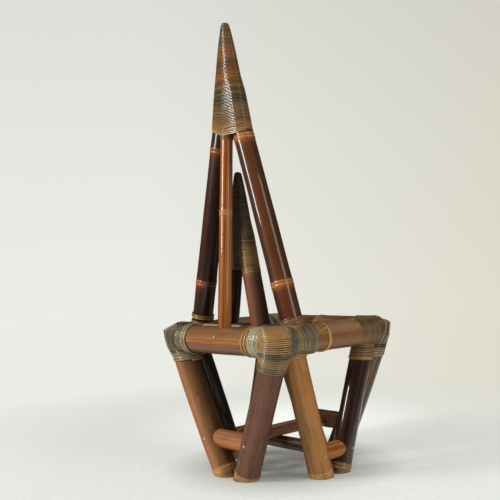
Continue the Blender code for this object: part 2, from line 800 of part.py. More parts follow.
# Stretchers
bar_holes = {name: hole(*place, BORE_SIDES) for name, place in bar_tenons.items()}
for name, stem in stretchers.items():
    pair = [item for (x, y), item in x_legs.items() if end_names[y] == name]
    pair += [item for (x, y), item in y_legs.items() if side_names[x] == name]
    bar_hole = bar_holes["upper" if name in end_names.values() else "lower"]
    stem.build(
        f"{name}_stretcher", ORANGE_BROWN, pair, (stretcher_tenons[name],),
        (*stretcher_pegs[name], bar_hole),
    )
upper_ends = (stretchers["front"], stretchers["back"])
lower_ends = (stretchers["right"], stretchers["left"])
upper_bar.build("upper_cross_bar", ORANGE_BROWN, upper_ends, (bar_tenons["upper"],))
lower_bar.build("lower_cross_bar", ORANGE_BROWN, lower_ends, (bar_tenons["lower"],))

# Spires
for x_side, stem in main_poles.items():
    colour = BLACK_BROWN if x_side > 0 else RED_BROWN
    stem.build(f"{side_names[x_side]}_main_pole", colour, (cross_rail, y_rails[x_side]))
for x_side, stem in short_poles.items():
    colour = BLACK_BROWN if x_side > 0 else RED_BROWN
    stem.build(f"{side_names[x_side]}_short_pole", colour, (cross_rail,), (short_tenons[x_side],))
centre_pole.build("centre_pole", ORANGE_BROWN, (back_rail,), (centre_tenon,), (centre_peg_hole,))
tall_spire = Spire([main_poles[1], main_poles[-1], centre_pole], tall_apex, TALL_WRAP_HEIGHT)
short_spire = Spire([short_poles[1], short_poles[-1]], short_apex, SHORT_WRAP_HEIGHT)
tall_spire.core("tall_spire_core")
tall_spire.winding("tall_spire_winding", TALL_LOOPS)
short_spire.core("short_spire_core")
short_spire.winding("short_spire_winding", SHORT_LOOPS)
for x_side, stem in main_poles.items():
    tilt = (MAIN_POLE_RADIUS + 2 * STRAND_RADIUS) * math.sqrt(1 - stem.axis.z ** 2)
    path = tie_path(stem.at_height(WRAP_TOP + POLE_TIE_SPACE + tilt), stem.axis, MAIN_POLE_RADIUS)
    strands(f"{side_names[x_side]}_pole_tie", [path], GOLD_RATTAN, TIE_POINTS)


# Corner wraps, lashings and ties

def corner_wrap(name, x_side, y_side):
    """Rattan layer over two mitred rail ends, open round the legs and the stems that stand on it."""
    along_x, along_y, x_slant = corner_cuts(x_side, y_side, 0)
    y_slant = corner_cuts(x_side, y_side, GAP)[2]
    outside = RAIL_RADIUS + WRAP_THICKNESS
    spans = (
        (x_rails[y_side], Vector((x_side, 0, 0)), BACK_WRAP_REACH, along_x, x_slant),
        (y_rails[x_side], Vector((0, y_side, 0)), SIDE_WRAP_REACH, along_y, y_slant),
    )
    sleeves = []
    for rail, outward, reach, (_, across), slant in spans:
        corner = Vector((x_side * HALF, y_side * HALF, rail.start.z))
        lapped = (corner + across * GAP, across)
        sleeve = plain_stem(
            corner - outward * reach, corner + outward * 2 * outside, outside, RAIL_BORE,
            trims=(lapped, slant),
        )
        sleeves.append(sleeve.placed(name, sleeve.profile, 0))
    wrap, other = sleeves
    boolean(wrap, hide(other), "UNION")
    for stem in (x_legs[x_side, y_side], y_legs[x_side, y_side]):
        boolean(wrap, stem.cutter())
    for rail in (x_rails[y_side], y_rails[x_side]):
        boolean(wrap, rail.cutter())
    if y_side > 0:
        boolean(wrap, cross_rail.cutter())
        boolean(wrap, main_poles[x_side].cutter())
    paint(wrap, OLIVE_RATTAN, RATTAN_GLOSS)


def rail_tie(name, corner, inward, reach):
    """Turns round a rail next to the edge of a corner wrap."""
    path = tie_path(corner + inward * (reach + 2 * STRAND_RADIUS), inward, RAIL_RADIUS)
    strands(name, [path], GOLD_RATTAN, TIE_POINTS)


lashing_top = RAIL_HEIGHT - RAIL_RADIUS - WRAP_THICKNESS - 2 * STRAND_RADIUS
for name, sides in CORNERS.items():
    corner_wrap(f"{name}_corner_wrap", *sides)
    path = lashing_path((x_legs[sides], y_legs[sides]), (BACK_LEG_RADIUS, SIDE_LEG_RADIUS), lashing_top)
    strands(f"{name}_leg_lashing", [path], TAN_RATTAN)
for x_side, side in side_names.items():
    corner = Vector((x_side * HALF, HALF, RAIL_HEIGHT))
    rail_tie(f"back_rail_tie_{side}", corner, Vector((-x_side, 0, 0)), BACK_WRAP_REACH)
    corner = Vector((x_side * HALF, HALF, SIDE_RAIL_HEIGHT))
    rail_tie(f"{side}_rail_tie", corner, Vector((0, -1, 0)), SIDE_WRAP_REACH)

# Seat deck
for x_side, stem in bearers.items():
    stem.build(f"{side_names[x_side]}_seat_bearer", LIGHT_TAN, (front_rail, cross_rail))
for index, y in enumerate(slat_rows):
    paint(slat(f"seat_slat_{index + 1}", y), LIGHT_TAN, STEM_GLOSS)
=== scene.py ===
import math

import bpy
import numpy as np
from mathutils import Matrix, Vector


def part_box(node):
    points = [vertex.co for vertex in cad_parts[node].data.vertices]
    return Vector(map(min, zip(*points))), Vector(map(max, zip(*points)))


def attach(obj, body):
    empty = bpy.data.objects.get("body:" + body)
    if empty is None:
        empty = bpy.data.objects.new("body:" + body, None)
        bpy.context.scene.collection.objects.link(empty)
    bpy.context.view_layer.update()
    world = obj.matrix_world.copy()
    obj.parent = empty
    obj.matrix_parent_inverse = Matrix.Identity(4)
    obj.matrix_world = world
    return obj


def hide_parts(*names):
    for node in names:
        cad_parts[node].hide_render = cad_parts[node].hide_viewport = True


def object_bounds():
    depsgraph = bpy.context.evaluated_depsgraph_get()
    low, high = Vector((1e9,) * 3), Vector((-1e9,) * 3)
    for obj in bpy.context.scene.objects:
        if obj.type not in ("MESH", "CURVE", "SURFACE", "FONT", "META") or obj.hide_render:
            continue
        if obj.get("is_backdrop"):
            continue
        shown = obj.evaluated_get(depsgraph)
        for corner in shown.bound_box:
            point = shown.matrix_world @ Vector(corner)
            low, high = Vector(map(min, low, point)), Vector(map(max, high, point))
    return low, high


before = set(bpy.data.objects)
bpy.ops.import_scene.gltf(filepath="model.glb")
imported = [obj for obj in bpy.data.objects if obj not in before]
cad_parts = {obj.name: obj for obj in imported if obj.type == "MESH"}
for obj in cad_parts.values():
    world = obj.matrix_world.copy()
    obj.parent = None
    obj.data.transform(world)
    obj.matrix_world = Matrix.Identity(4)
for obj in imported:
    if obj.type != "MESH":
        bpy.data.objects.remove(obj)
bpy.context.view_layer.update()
scene = bpy.context.scene
scene.view_settings.view_transform = "Standard"

# Camera, fitted to the photograph, in metres and radians; the sensor is in millimetres
FRAME_PIXELS = 500
FOCAL_PIXELS = 801.56
SENSOR_WIDTH = 36.0
CAMERA_AZIMUTH = math.radians(226.285)
CAMERA_DISTANCE = 2.5173
CAMERA_HEIGHT = 0.6253
CAMERA_PITCH = -0.0183
CAMERA_YAW = -0.0304
CAMERA_ROLL = -0.0452

# Driving dimensions of the chair, in metres; HALF is half the rail spacing
HALF = 0.2175
RAIL_RADIUS = 0.0415
RAIL_HEIGHT = 0.405
SIDE_RAIL_HEIGHT = 0.4085
RAIL_TOP = RAIL_HEIGHT + RAIL_RADIUS
CROSS_RAIL_RADIUS = 0.0265
CROSS_RAIL_Y = 0.138
CROSS_RAIL_HEIGHT = 0.4235
POLE_START = CROSS_RAIL_HEIGHT + CROSS_RAIL_RADIUS
BACK_LEG_RADIUS = 0.038
SIDE_LEG_RADIUS = 0.035
BACK_LEG_TOP = HALF + 0.0035
SIDE_LEG_TOP = HALF - 0.0525
BACK_FOOT_SPREAD = 0.042
SIDE_FOOT_SPREAD = 0.039
FOOT_TUCK = 0.0214
LOWER_BAR_HEIGHT = 0.069
UPPER_BAR_HEIGHT = 0.1083
BACK_STRETCHER_RADIUS = 0.0275
SIDE_STRETCHER_RADIUS = 0.025
CROSS_BAR_RADIUS = 0.0195
MAIN_POLE_FOOT = 0.2045
MAIN_POLE_RADIUS = 0.0325
MAIN_POLE_NECK = 0.0305
CENTRE_POLE_RADIUS = 0.0205
CENTRE_POLE_NECK = 0.0185
SHORT_POLE_FOOT = 0.0703
SHORT_POLE_RADIUS = 0.0288
SHORT_POLE_NECK = 0.027
TALL_APEX = (0.0, 0.1635, 1.3585)
TALL_WRAP_FOOT = 1.033
TALL_WRAP_DIP = 0.020
SHORT_APEX = (0.0, 0.1388, 0.908)
SHORT_WRAP_FOOT = 0.613
MAIN_POLE_CROSSING = 0.0444
CENTRE_POLE_AIM = 0.151
SHORT_POLE_CROSSING = 0.0184
SPIRE_TIP = 0.007
BEARER_X = 0.105
BEARER_RADIUS = 0.013

# Stems: sides and rows of a mesh, its cut ends, an open foot, and slow changes of girth along the stem
STEM_SIDES = 48
STEM_STEP = 0.016
STEM_CREASE = math.radians(50)
END_ROWS = 3
END_MARGIN = 0.004
WALL_SHARE = 0.26
BORE_DEPTH = 0.030
LUMP_SIZE = 0.006
LUMP_WAVES = 31

# A node of a stem: place, height and width of its scar, its ridge and the swelling round them; place,
# strength and width of the paint on the scar and the ridge; how far its glow reaches; its rows of mesh
NODE_RELIEF = ((-0.0052, 0.0011, 0.0014), (0.0046, 0.0009, 0.0022), (0.0, 0.0008, 0.018))
NODE_PAINT = ((-0.0052, 1.0, 0.0017), (0.0046, 0.8, 0.0021))
GLOW_BELOW = 0.016
GLOW_ABOVE = 0.007
NODE_ROWS = np.arange(-0.0150, 0.0151, 0.0010)

# Strands: their flat section, the share of it that a strand's middle stands off, and steps along them
STRAND_SIDES = 8
STRAND_WIDTH = 0.0062
STRAND_THICKNESS = 0.0032
STRAND_PITCH = 0.0062
STRAND_FLATNESS = 0.8
STAND_OFF = 0.35
TURN_STEPS = 36
COIL_WANDER = 0.0004
WANDER_STEPS = (23, 61, 140)
WRAP = {"pitch": 0.0052, "width": 0.0047, "thickness": 0.0036}
SPIRE_PITCH = 0.0042
SPIRE_TURN_STEPS = 60
WOUND_SHARE = 0.985

# The side of the chair that the photograph shows; stems are described as seen from there
FACING = np.array((math.sin(CAMERA_AZIMUTH), -math.cos(CAMERA_AZIMUTH), 0.0))
PHOTO_RIGHT = np.array((math.cos(CAMERA_AZIMUTH), math.sin(CAMERA_AZIMUTH), 0.0))
UP = np.array((0.0, 0.0, 1.0))

# Names of the four sides and the way of each along its axis
BACK_FRONT = (("back", 1), ("front", -1))
LEFT_RIGHT = (("left", 1), ("right", -1))


def unit(vector):
    vector = np.asarray(vector, float)
    return vector / np.linalg.norm(vector, axis=-1, keepdims=True)


def smooth(value, low, high):
    """Goes softly from 0 to 1 while a value goes from low to high."""
    share = np.clip((np.asarray(value, float) - low) / (high - low), 0, 1)
    return share * share * (3 - 2 * share)


def bell(offset, width):
    """1 at no offset, and close to 0 from about two widths on."""
    return np.exp(-(offset / width) ** 2)


def around(count):
    """Angles at equal steps round a circle."""
    return np.arange(count) * math.tau / count


def paired(distance, angle):
    return np.broadcast_arrays(np.asarray(distance, float), np.asarray(angle, float))


def srgb(colour):
    """A colour written as 0xRRGGBB in sRGB, as linear RGBA."""
    linear = []
    for shift in (16, 8, 0):
        value = (colour >> shift & 255) / 255
        linear.append(value / 12.92 if value <= 0.04045 else ((value + 0.055) / 1.055) ** 2.4)
    return (*linear, 1.0)


def blend(first, second, share):
    return tuple(a + (b - a) * share for a, b in zip(first, second))


# Meshes


def skin(rings):
    """Points and faces of a closed skin through rings of equal count, capped at both ends."""
    rows, sides = rings.shape[:2]
    faces = []
    for row in range(rows - 1):
        low, high = row * sides, (row + 1) * sides
        for side in range(sides):
            after = (side + 1) % sides
            faces.append((low + side, low + after, high + after, high + side))
    faces.append(tuple(reversed(range(sides))))
    faces.append(tuple(range((rows - 1) * sides, rows * sides)))
    return rings.reshape(-1, 3), faces


def add_piece(name, points, faces, material, nodes=(), values=None, sharp=None):
    """Make one mesh piece, give it its material and tie it to the chair."""
    mesh = bpy.data.meshes.new(name)
    mesh.from_pydata([tuple(point) for point in points], [], faces)
    mesh.update()
    mesh.shade_smooth()
    if sharp:
        mesh.set_sharp_from_angle(angle=sharp)
    for key, data in (values or {}).items():
        data = np.asarray(data, np.float32)
        if data.ndim == 1:
            mesh.attributes.new(key, "FLOAT", "POINT").data.foreach_set("value", data)
        else:
            layer = mesh.attributes.new(key, "FLOAT_VECTOR", "POINT")
            layer.data.foreach_set("vector", data.reshape(-1))
    mesh.materials.append(material)
    piece = bpy.data.objects.new(name, mesh)
    scene.collection.objects.link(piece)
    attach(piece, "root")
    if nodes:
        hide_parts(*nodes)


class Culm:
    """A bamboo stem along a straight axis, with node rings, a slight bow and an oval section."""

    def __init__(self, start, end, radius, end_radius=None, nodes=(), seed=0, bow=None):
        self.start, self.end = np.array(start, float), np.array(end, float)
        self.length = float(np.linalg.norm(self.end - self.start))
        self.axis = (self.end - self.start) / self.length
        self.side = unit(FACING - (FACING @ self.axis) * self.axis)
        self.rise = np.cross(self.axis, self.side)
        self.radius = radius
        self.end_radius = radius if end_radius is None else end_radius
        self.nodes = nodes
        luck = np.random.default_rng(seed)
        self.oval = luck.uniform(0.004, 0.012)
        self.turn = luck.uniform(0, math.tau)
        self.bow = luck.uniform(0.0004, 0.0012)
        self.wave = luck.uniform(0, math.tau)
        self.lump = luck.uniform(0, math.tau)
        if bow is not None:
            # a clear bow to the right of the photograph
            self.bow, self.wave = bow, math.pi / 2

    def radius_at(self, distance):
        share = np.clip(distance / self.length, 0, 1)
        radius = self.radius + (self.end_radius - self.radius) * share
        radius = radius * (1 + LUMP_SIZE * np.sin(distance * LUMP_WAVES + self.lump))
        for node in self.nodes:
            for place, rise, width in NODE_RELIEF:
                radius = radius + rise * bell(distance - node - place, width)
        return radius

    def at_height(self, height):
        """Distance along the stem at which its axis is at a height."""
        return (height - self.start[2]) / self.axis[2]

    def point_at(self, height):
        return self.start + self.axis * self.at_height(height)

    def outward(self, angle):
        """Ways out from the axis; angle 0 faces the photograph."""
        return np.cos(angle)[..., None] * self.side + np.sin(angle)[..., None] * self.rise

    def surface(self, distance, angle, extra=0.0):
        """Points on the stem and the outward normals there."""
        distance, angle = paired(distance, angle)
        radius = self.radius_at(distance) * (1 + self.oval * np.cos(2 * angle + self.turn))
        out = self.outward(angle)
        bend = self.bow * np.sin(math.pi * distance / self.length)
        bowed = math.cos(self.wave) * self.side + math.sin(self.wave) * self.rise
        step, steepest = 0.0005, 4
        slope = (self.radius_at(distance + step) - self.radius_at(distance - step)) / (2 * step)
        normals = unit(out - np.clip(slope, -steepest, steepest)[..., None] * self.axis)
        points = (self.start + distance[..., None] * self.axis + bend[..., None] * bowed
                  + radius[..., None] * out + extra * normals)
        return points, normals


def level_cut(height):
    """Distances along a stem at which its sides meet a level plane."""
    def cut(culm, angles):
        return (height - culm.start[2] - culm.radius * culm.outward(angles)[:, 2]) / culm.axis[2]
    return cut


def saddle_cut(carrier, at_start, sink):
    """Distances along a stem at which its sides meet the stem that carries it, sunk into it a little."""
    def cut(culm, angles):
        radius = culm.radius if at_start else culm.end_radius
        origin = culm.start + radius * culm.outward(angles) - carrier.start
        flat = origin - (origin @ carrier.axis)[:, None] * carrier.axis
        run = culm.axis - (culm.axis @ carrier.axis) * carrier.axis
        a, b = run @ run, flat @ run
        c = (flat * flat).sum(axis=1) - (carrier.radius - sink) ** 2
        root = np.sqrt(np.clip(b * b - a * c, 0, None))
        return (-b + root) / a if at_start else (-b - root) / a
    return cut


def add_culm(node, culm, material, start_cut=None, end_cut=None, open_foot=False):
    """Mesh one stem in place of its CAD node; an open foot is hollow as far as a diaphragm."""
    angles = around(STEM_SIDES)
    first = start_cut(culm, angles) if start_cut else np.zeros(STEM_SIDES)
    last = end_cut(culm, angles) if end_cut else np.full(STEM_SIDES, culm.length)
    low, high = first.max() + END_MARGIN, last.min() - END_MARGIN
    stations = list(np.arange(low, high, STEM_STEP)) + [high]
    for knot in culm.nodes:
        stations += list(knot + NODE_ROWS)
    stations = sorted({round(s, 5) for s in stations if low - 1e-6 <= s <= high + 1e-6})
    distances = [first + (low - first) * row / END_ROWS for row in range(END_ROWS)]
    distances += [np.full(STEM_SIDES, station) for station in stations]
    distances += [high + (last - high) * row / END_ROWS for row in range(1, END_ROWS + 1)]
    rings = [culm.surface(distance, angles)[0] for distance in distances]
    bark = [np.ones(STEM_SIDES)] * len(rings)
    if open_foot:
        edge, wall = distances[0], -WALL_SHARE * culm.radius
        lip = culm.surface(edge, angles, wall)[0]
        lip[:, 2] = rings[0][:, 2]
        deep = culm.surface(edge + BORE_DEPTH, angles, wall)[0]
        rings, distances = [deep, lip] + rings, [edge, edge] + distances
        bark = [np.zeros(STEM_SIDES)] * 2 + bark
    points, faces = skin(np.array(rings))
    along = np.concatenate(distances)
    glow, ridge = np.zeros(len(along)), np.zeros(len(along))
    for knot in culm.nodes:
        gap = along - knot
        glow = np.maximum(glow, bell(gap, np.where(gap < 0, GLOW_BELOW, GLOW_ABOVE)))
        for middle, strength, width in NODE_PAINT:
            ridge = np.maximum(ridge, strength * bell(gap - middle, width))
    off = points - culm.start
    place = np.stack((off @ culm.side, off @ culm.rise, off @ culm.axis), axis=-1)
    values = {"place": place, "glow": glow, "ridge": ridge, "bark": np.concatenate(bark),
              "floor": points[:, 2]}
    add_piece(f"{node}_culm", points, faces, material, [node], values, STEM_CREASE)


def strand(path, normals, width=STRAND_WIDTH, thickness=STRAND_THICKNESS, turns=0.0):
    """Points, faces and fibre values of one flat strand that follows a path."""
    path = np.asarray(path, float)
    run = unit(np.gradient(path, axis=0))
    across = unit(np.cross(run, normals))
    lift = np.cross(across, run)
    angles = around(STRAND_SIDES)
    wide = np.sign(np.cos(angles)) * np.abs(np.cos(angles)) ** STRAND_FLATNESS * width / 2
    tall = np.sin(angles) * thickness / 2
    rings = path[:, None] + wide[None, :, None] * across[:, None] + tall[None, :, None] * lift[:, None]
    along = np.concatenate(([0], np.cumsum(np.linalg.norm(np.diff(path, axis=0), axis=1))))
    fibre = np.empty((len(path), STRAND_SIDES, 3))
    fibre[..., 0] = along[:, None]
    fibre[..., 1] = np.broadcast_to(turns, len(path))[:, None]
    fibre[..., 2] = wide[None, :] / width
    points, faces = skin(rings)
    return points, faces, fibre.reshape(-1, 3)


def join(parts):
    """Join the points, faces and fibre values of several strands."""
    points, faces, fibres, count = [], [], [], 0
    for part_points, part_faces, part_fibre in parts:
        points.append(part_points)
        fibres.append(part_fibre)
        faces += [tuple(index + count for index in face) for face in part_faces]
        count += len(part_points)
    return np.concatenate(points), faces, np.concatenate(fibres)


def wobble(count, seed, size):
    """A slow, smooth wander along a strand."""
    luck = np.random.default_rng(seed)
    step = np.arange(count)
    wander = np.zeros(count)
    for length in WANDER_STEPS:
        wander += np.sin(step * math.tau / length + luck.uniform(0, math.tau))
    return wander * size / len(WANDER_STEPS)


def coil(form, first, last, seed, pitch=STRAND_PITCH, extra=0.0, width=STRAND_WIDTH,
         thickness=STRAND_THICKNESS, tilt=0.0, level=0.0):
    """A strand wound round a form from one distance to another; level turns a leaning stem's rings flat."""
    turns = abs(last - first) / pitch
    count = max(int(turns * TURN_STEPS), 8)
    share = np.linspace(0, 1, count)
    angle = np.random.default_rng(seed).uniform(0, math.tau) + math.tau * turns * share
    distance = first + (last - first) * share + wobble(count, seed, COIL_WANDER) + tilt * np.sin(angle)
    if level:
        distance = distance - level * form.radius * form.outward(angle)[:, 2] / form.axis[2]
    path, normals = form.surface(distance, angle, extra + thickness * STAND_OFF)
    return strand(path, normals, width, thickness, turns * share)


def add_strands(name, parts, material, nodes=()):
    points, faces, fibre = join(parts)
    add_piece(name, points, faces, material, nodes, {"fibre": fibre})


def wound_turns(length):
    """Turns of the strand on a spire."""
    return length * WOUND_SHARE / SPIRE_PITCH


class Spire:
    """The hull round leaning poles that run together at an apex."""

    SIDES = 72
    ROWS = 60
    TIP_LENGTH = 0.010
    # shares of the length from the apex between which the hull of the poles is rounded to an ellipse
    ROUNDED = (0.68, 0.48)
    UPWARD = 0.08
    WOUND_FROM = 0.012
    WOUND_TOP = 0.004
    LIFT = 0.2
    THICKNESS = 0.7
    FIRST_ANGLE = 0.6
    WANDER = 0.0005

    def __init__(self, apex, poles, foot_height, bulge, dip=0.0, dip_from=0.0, slant=0.0):
        self.apex = np.array(apex, float)
        self.length = apex[2] - foot_height
        self.feet = np.array([pole.point_at(foot_height)[:2] for pole in poles])
        self.radii = np.array([pole.end_radius for pole in poles])
        self.bulge, self.dip, self.dip_from, self.slant = bulge, dip, dip_from, slant
        self.ridge = self.feet[-1, 1] + self.radii[-1]

    def hull(self, share, out):
        """The outermost points in given directions; the upper part is rounded to an ellipse."""
        centres = self.apex[:2] + (self.feet - self.apex[:2]) * share[..., None, None]
        radii = SPIRE_TIP + (self.radii - SPIRE_TIP) * share[..., None]
        radii = radii + (self.bulge * np.sqrt(share) * np.clip(1 - share, 0, 1))[..., None]
        cap = np.clip(1 - share * self.length / self.TIP_LENGTH, 0, 1)
        radii = radii * np.sqrt(np.clip(1 - cap ** 2, 0.002, 1))[..., None]
        reach = (centres * out[..., None, :]).sum(axis=-1) + radii
        if self.dip:
            # the last pole stands for itself at the back only
            reach[..., -1] = np.where(out[..., 1] > 0, reach[..., -1], -1.0)
        best = reach.argmax(axis=-1)[..., None]
        centre = np.take_along_axis(centres, best[..., None], axis=-2)[..., 0, :]
        flat = centre + np.take_along_axis(radii, best, axis=-1) * out
        wide = (np.abs(centres[..., 0]) + radii).max(axis=-1)
        front, back = (centres[..., 1] + radii).max(axis=-1), (centres[..., 1] - radii).min(axis=-1)
        axes = np.stack((wide, (front - back) / 2), axis=-1)
        middle = np.stack((np.zeros_like(wide), (front + back) / 2), axis=-1)
        oval = middle + axes ** 2 * out / np.linalg.norm(axes * out, axis=-1, keepdims=True)
        return flat + (oval - flat) * smooth(share, *self.ROUNDED)[..., None]

    def surface(self, share, angle, extra=0.0):
        share, angle = paired(share, angle)
        out = np.stack((np.cos(angle), np.sin(angle)), axis=-1)
        flat = self.hull(share, out)
        drop = np.zeros_like(share)
        if self.dip:
            near = np.clip((flat[..., 1] - self.dip_from) / (self.ridge - self.dip_from), 0, 1)
            drop = (self.dip * near - self.slant * flat[..., 0]) * share ** 3
            flat = self.hull(share + drop / self.length, out)
        height = self.apex[2] - share * self.length - drop
        points = np.concatenate((flat + extra * out, height[..., None]), axis=-1)
        normals = unit(np.concatenate((out, np.full(out.shape[:-1] + (1,), self.UPWARD)), axis=-1))
        return points, normals

    def core(self):
        """The packing under the strands, with closer rows at its tip."""
        shares = np.concatenate((np.linspace(0.0005, 0.03, 8), np.linspace(0.045, 0.995, self.ROWS)))
        return skin(self.surface(shares[::-1, None], around(self.SIDES)[None, :])[0])

    def winding(self, seed):
        turns = wound_turns(self.length)
        count = int(turns * SPIRE_TURN_STEPS)
        run = np.linspace(0, 1, count)
        share = self.WOUND_FROM + WOUND_SHARE * run + wobble(count, seed, self.WANDER) / self.length
        angle = self.FIRST_ANGLE + math.tau * turns * run
        path, normals = self.surface(np.clip(share, self.WOUND_TOP, 1.0), angle, SPIRE_PITCH * self.LIFT)
        return strand(path, normals, SPIRE_PITCH, SPIRE_PITCH * self.THICKNESS, turns * run)


class Head:
    """The wound head of a corner: round below, level above and cut by a sloping face at the outside."""

    # height of a turn and its radius
    PROFILE = np.array(((0.300, 0.0398), (0.352, 0.0400), (0.366, 0.0432), (0.395, 0.0450),
                        (0.428, 0.0440), (0.4515, 0.0410)))
    # heights between which the girth grows, a soft head narrows, and the head and its turns come upright
    GIRTH_GROWS = (0.350, 0.385)
    NARROWS = (0.415, 0.455)
    NARROWING = 14
    COMES_UPRIGHT = (0.365, 0.425)
    COMES_LEVEL = (0.335, 0.420)
    BLUNT_OUT = 0.0060
    FACE_BLEND = 0.004
    CORE_SINK = 0.0012
    CORE_SIDES = 48
    CORE_ROWS = 40
    RIB_STEPS = 30
    RIB_TWIST = 0.12
    RIB_JITTER = 0.15
    RIB_HEIGHTS = (-0.0004, 0.0006)
    CAP_STEPS = 12
    CAP_RISE = 0.002
    CAP_SINK = 0.001
    CAP_NEAR = 0.6
    CAP_OVER = 0.35
    RIM_POINTS = 97

    def __init__(self, leg, x_way, y_way, foot, tip, top, reach, drop, lean, girth, soft):
        self.leg, self.tip, self.top, self.reach, self.drop = leg, tip, top, reach, drop
        self.lean, self.girth, self.soft = lean, girth, soft
        self.way = np.array((x_way, y_way)) / math.sqrt(2)
        self.blunt = (HALF + self.BLUNT_OUT) * np.array((x_way, y_way), float)
        slope = math.hypot(top - tip, reach)
        self.face = np.array((*(self.way * (top - tip) / slope), reach / slope))
        self.marks = np.array((0, tip - foot, tip - foot + slope))
        self.heights = np.array((foot, tip, top))
        self.length = float(self.marks[-1])

    def at_height(self, height):
        return float(np.interp(height, self.heights, self.marks))

    def surface(self, distance, angle, extra=0.0):
        distance, angle = paired(distance, angle)
        height = np.interp(distance, self.marks, self.heights)
        radius = np.interp(height, *self.PROFILE.T)
        radius = radius * (1 + (self.girth - 1) * smooth(height, *self.GIRTH_GROWS))
        radius = radius * (1 - self.NARROWING * self.soft * smooth(height, *self.NARROWS))
        out = np.stack((np.cos(angle), np.sin(angle)), axis=-1)
        run = self.leg.axis[:2] / self.leg.axis[2]
        centre = self.leg.start[:2] + run * (height - self.leg.start[2])[..., None]
        centre = centre + (self.blunt - centre) * smooth(height, *self.COMES_UPRIGHT)[..., None]
        flat = centre + radius[..., None] * out
        high = height - self.lean * (1 - smooth(height, *self.COMES_LEVEL)) * radius * (out @ run)
        # the outside is cut back to the upright front and the sloping face
        front = self.reach * np.clip((self.top - height) / (self.top - self.tip), 0, 1)
        front = front - self.drop * np.clip(self.tip - height, 0, None)
        over = (flat - self.blunt) @ self.way - front
        over = (over + np.hypot(over, self.soft)) / 2
        flat = flat - over[..., None] * self.way
        cut = smooth(over, 0.5 * self.soft, self.FACE_BLEND + self.soft)
        cut = (cut * smooth(height, self.tip - self.FACE_BLEND, self.tip + self.FACE_BLEND / 2))[..., None]
        normals = np.concatenate((out, np.zeros(out.shape[:-1] + (1,))), axis=-1)
        normals = unit(normals * (1 - cut) + self.face * cut)
        return np.concatenate((flat, high[..., None]), axis=-1) + extra * normals, normals

    def core(self):
        distances = np.linspace(0, self.length, self.CORE_ROWS)[:, None]
        return skin(self.surface(distances, around(self.CORE_SIDES)[None, :], -self.CORE_SINK)[0])

    def ribs(self, low, seed):
        """Strands laid side by side up the head and over its sloping face."""
        luck = np.random.default_rng(seed)
        count = int(math.tau * self.PROFILE[:, 1].max() * self.girth / WRAP["pitch"])
        share = np.linspace(0, 1, self.RIB_STEPS)
        parts = []
        for rib in range(count):
            jitter = luck.uniform(-self.RIB_JITTER, self.RIB_JITTER)
            angle = math.tau * (rib + jitter) / count + self.RIB_TWIST * share
            extra = WRAP["thickness"] * STAND_OFF + luck.uniform(*self.RIB_HEIGHTS)
            path, normals = self.surface(low + (self.length - low) * share, angle, extra)
            parts.append(strand(path, normals, WRAP["width"], WRAP["thickness"], rib))
        return parts

    def cap(self, turn=None):
        """Strands laid side by side over the level top."""
        share = np.linspace(0, 1, self.CAP_STEPS)
        rim = self.surface(self.length, np.linspace(0, math.tau, self.RIM_POINTS))[0][:, :2]
        across = np.array((-self.way[1], self.way[0]))
        side, depth = rim @ across, rim @ self.way
        height = self.top - self.CAP_SINK + WRAP["thickness"] * STAND_OFF
        height = height + self.CAP_RISE * (1 - (2 * share - 1) ** 2)
        upright = np.tile(UP, (self.CAP_STEPS, 1))
        parts = []
        for row, place in enumerate(np.arange(side.min() + WRAP["pitch"] / 2, side.max(), WRAP["pitch"])):
            ends = depth[np.abs(side - place) < WRAP["pitch"] * self.CAP_NEAR]
            reach = ends.min() + (np.ptp(ends) + self.CAP_OVER * self.soft) * share
            path = np.column_stack((place * across + reach[:, None] * self.way, height))
            turns = row if turn is None else turn
            parts.append(strand(path, upright, WRAP["width"], WRAP["thickness"], turns))
        return parts


# Materials


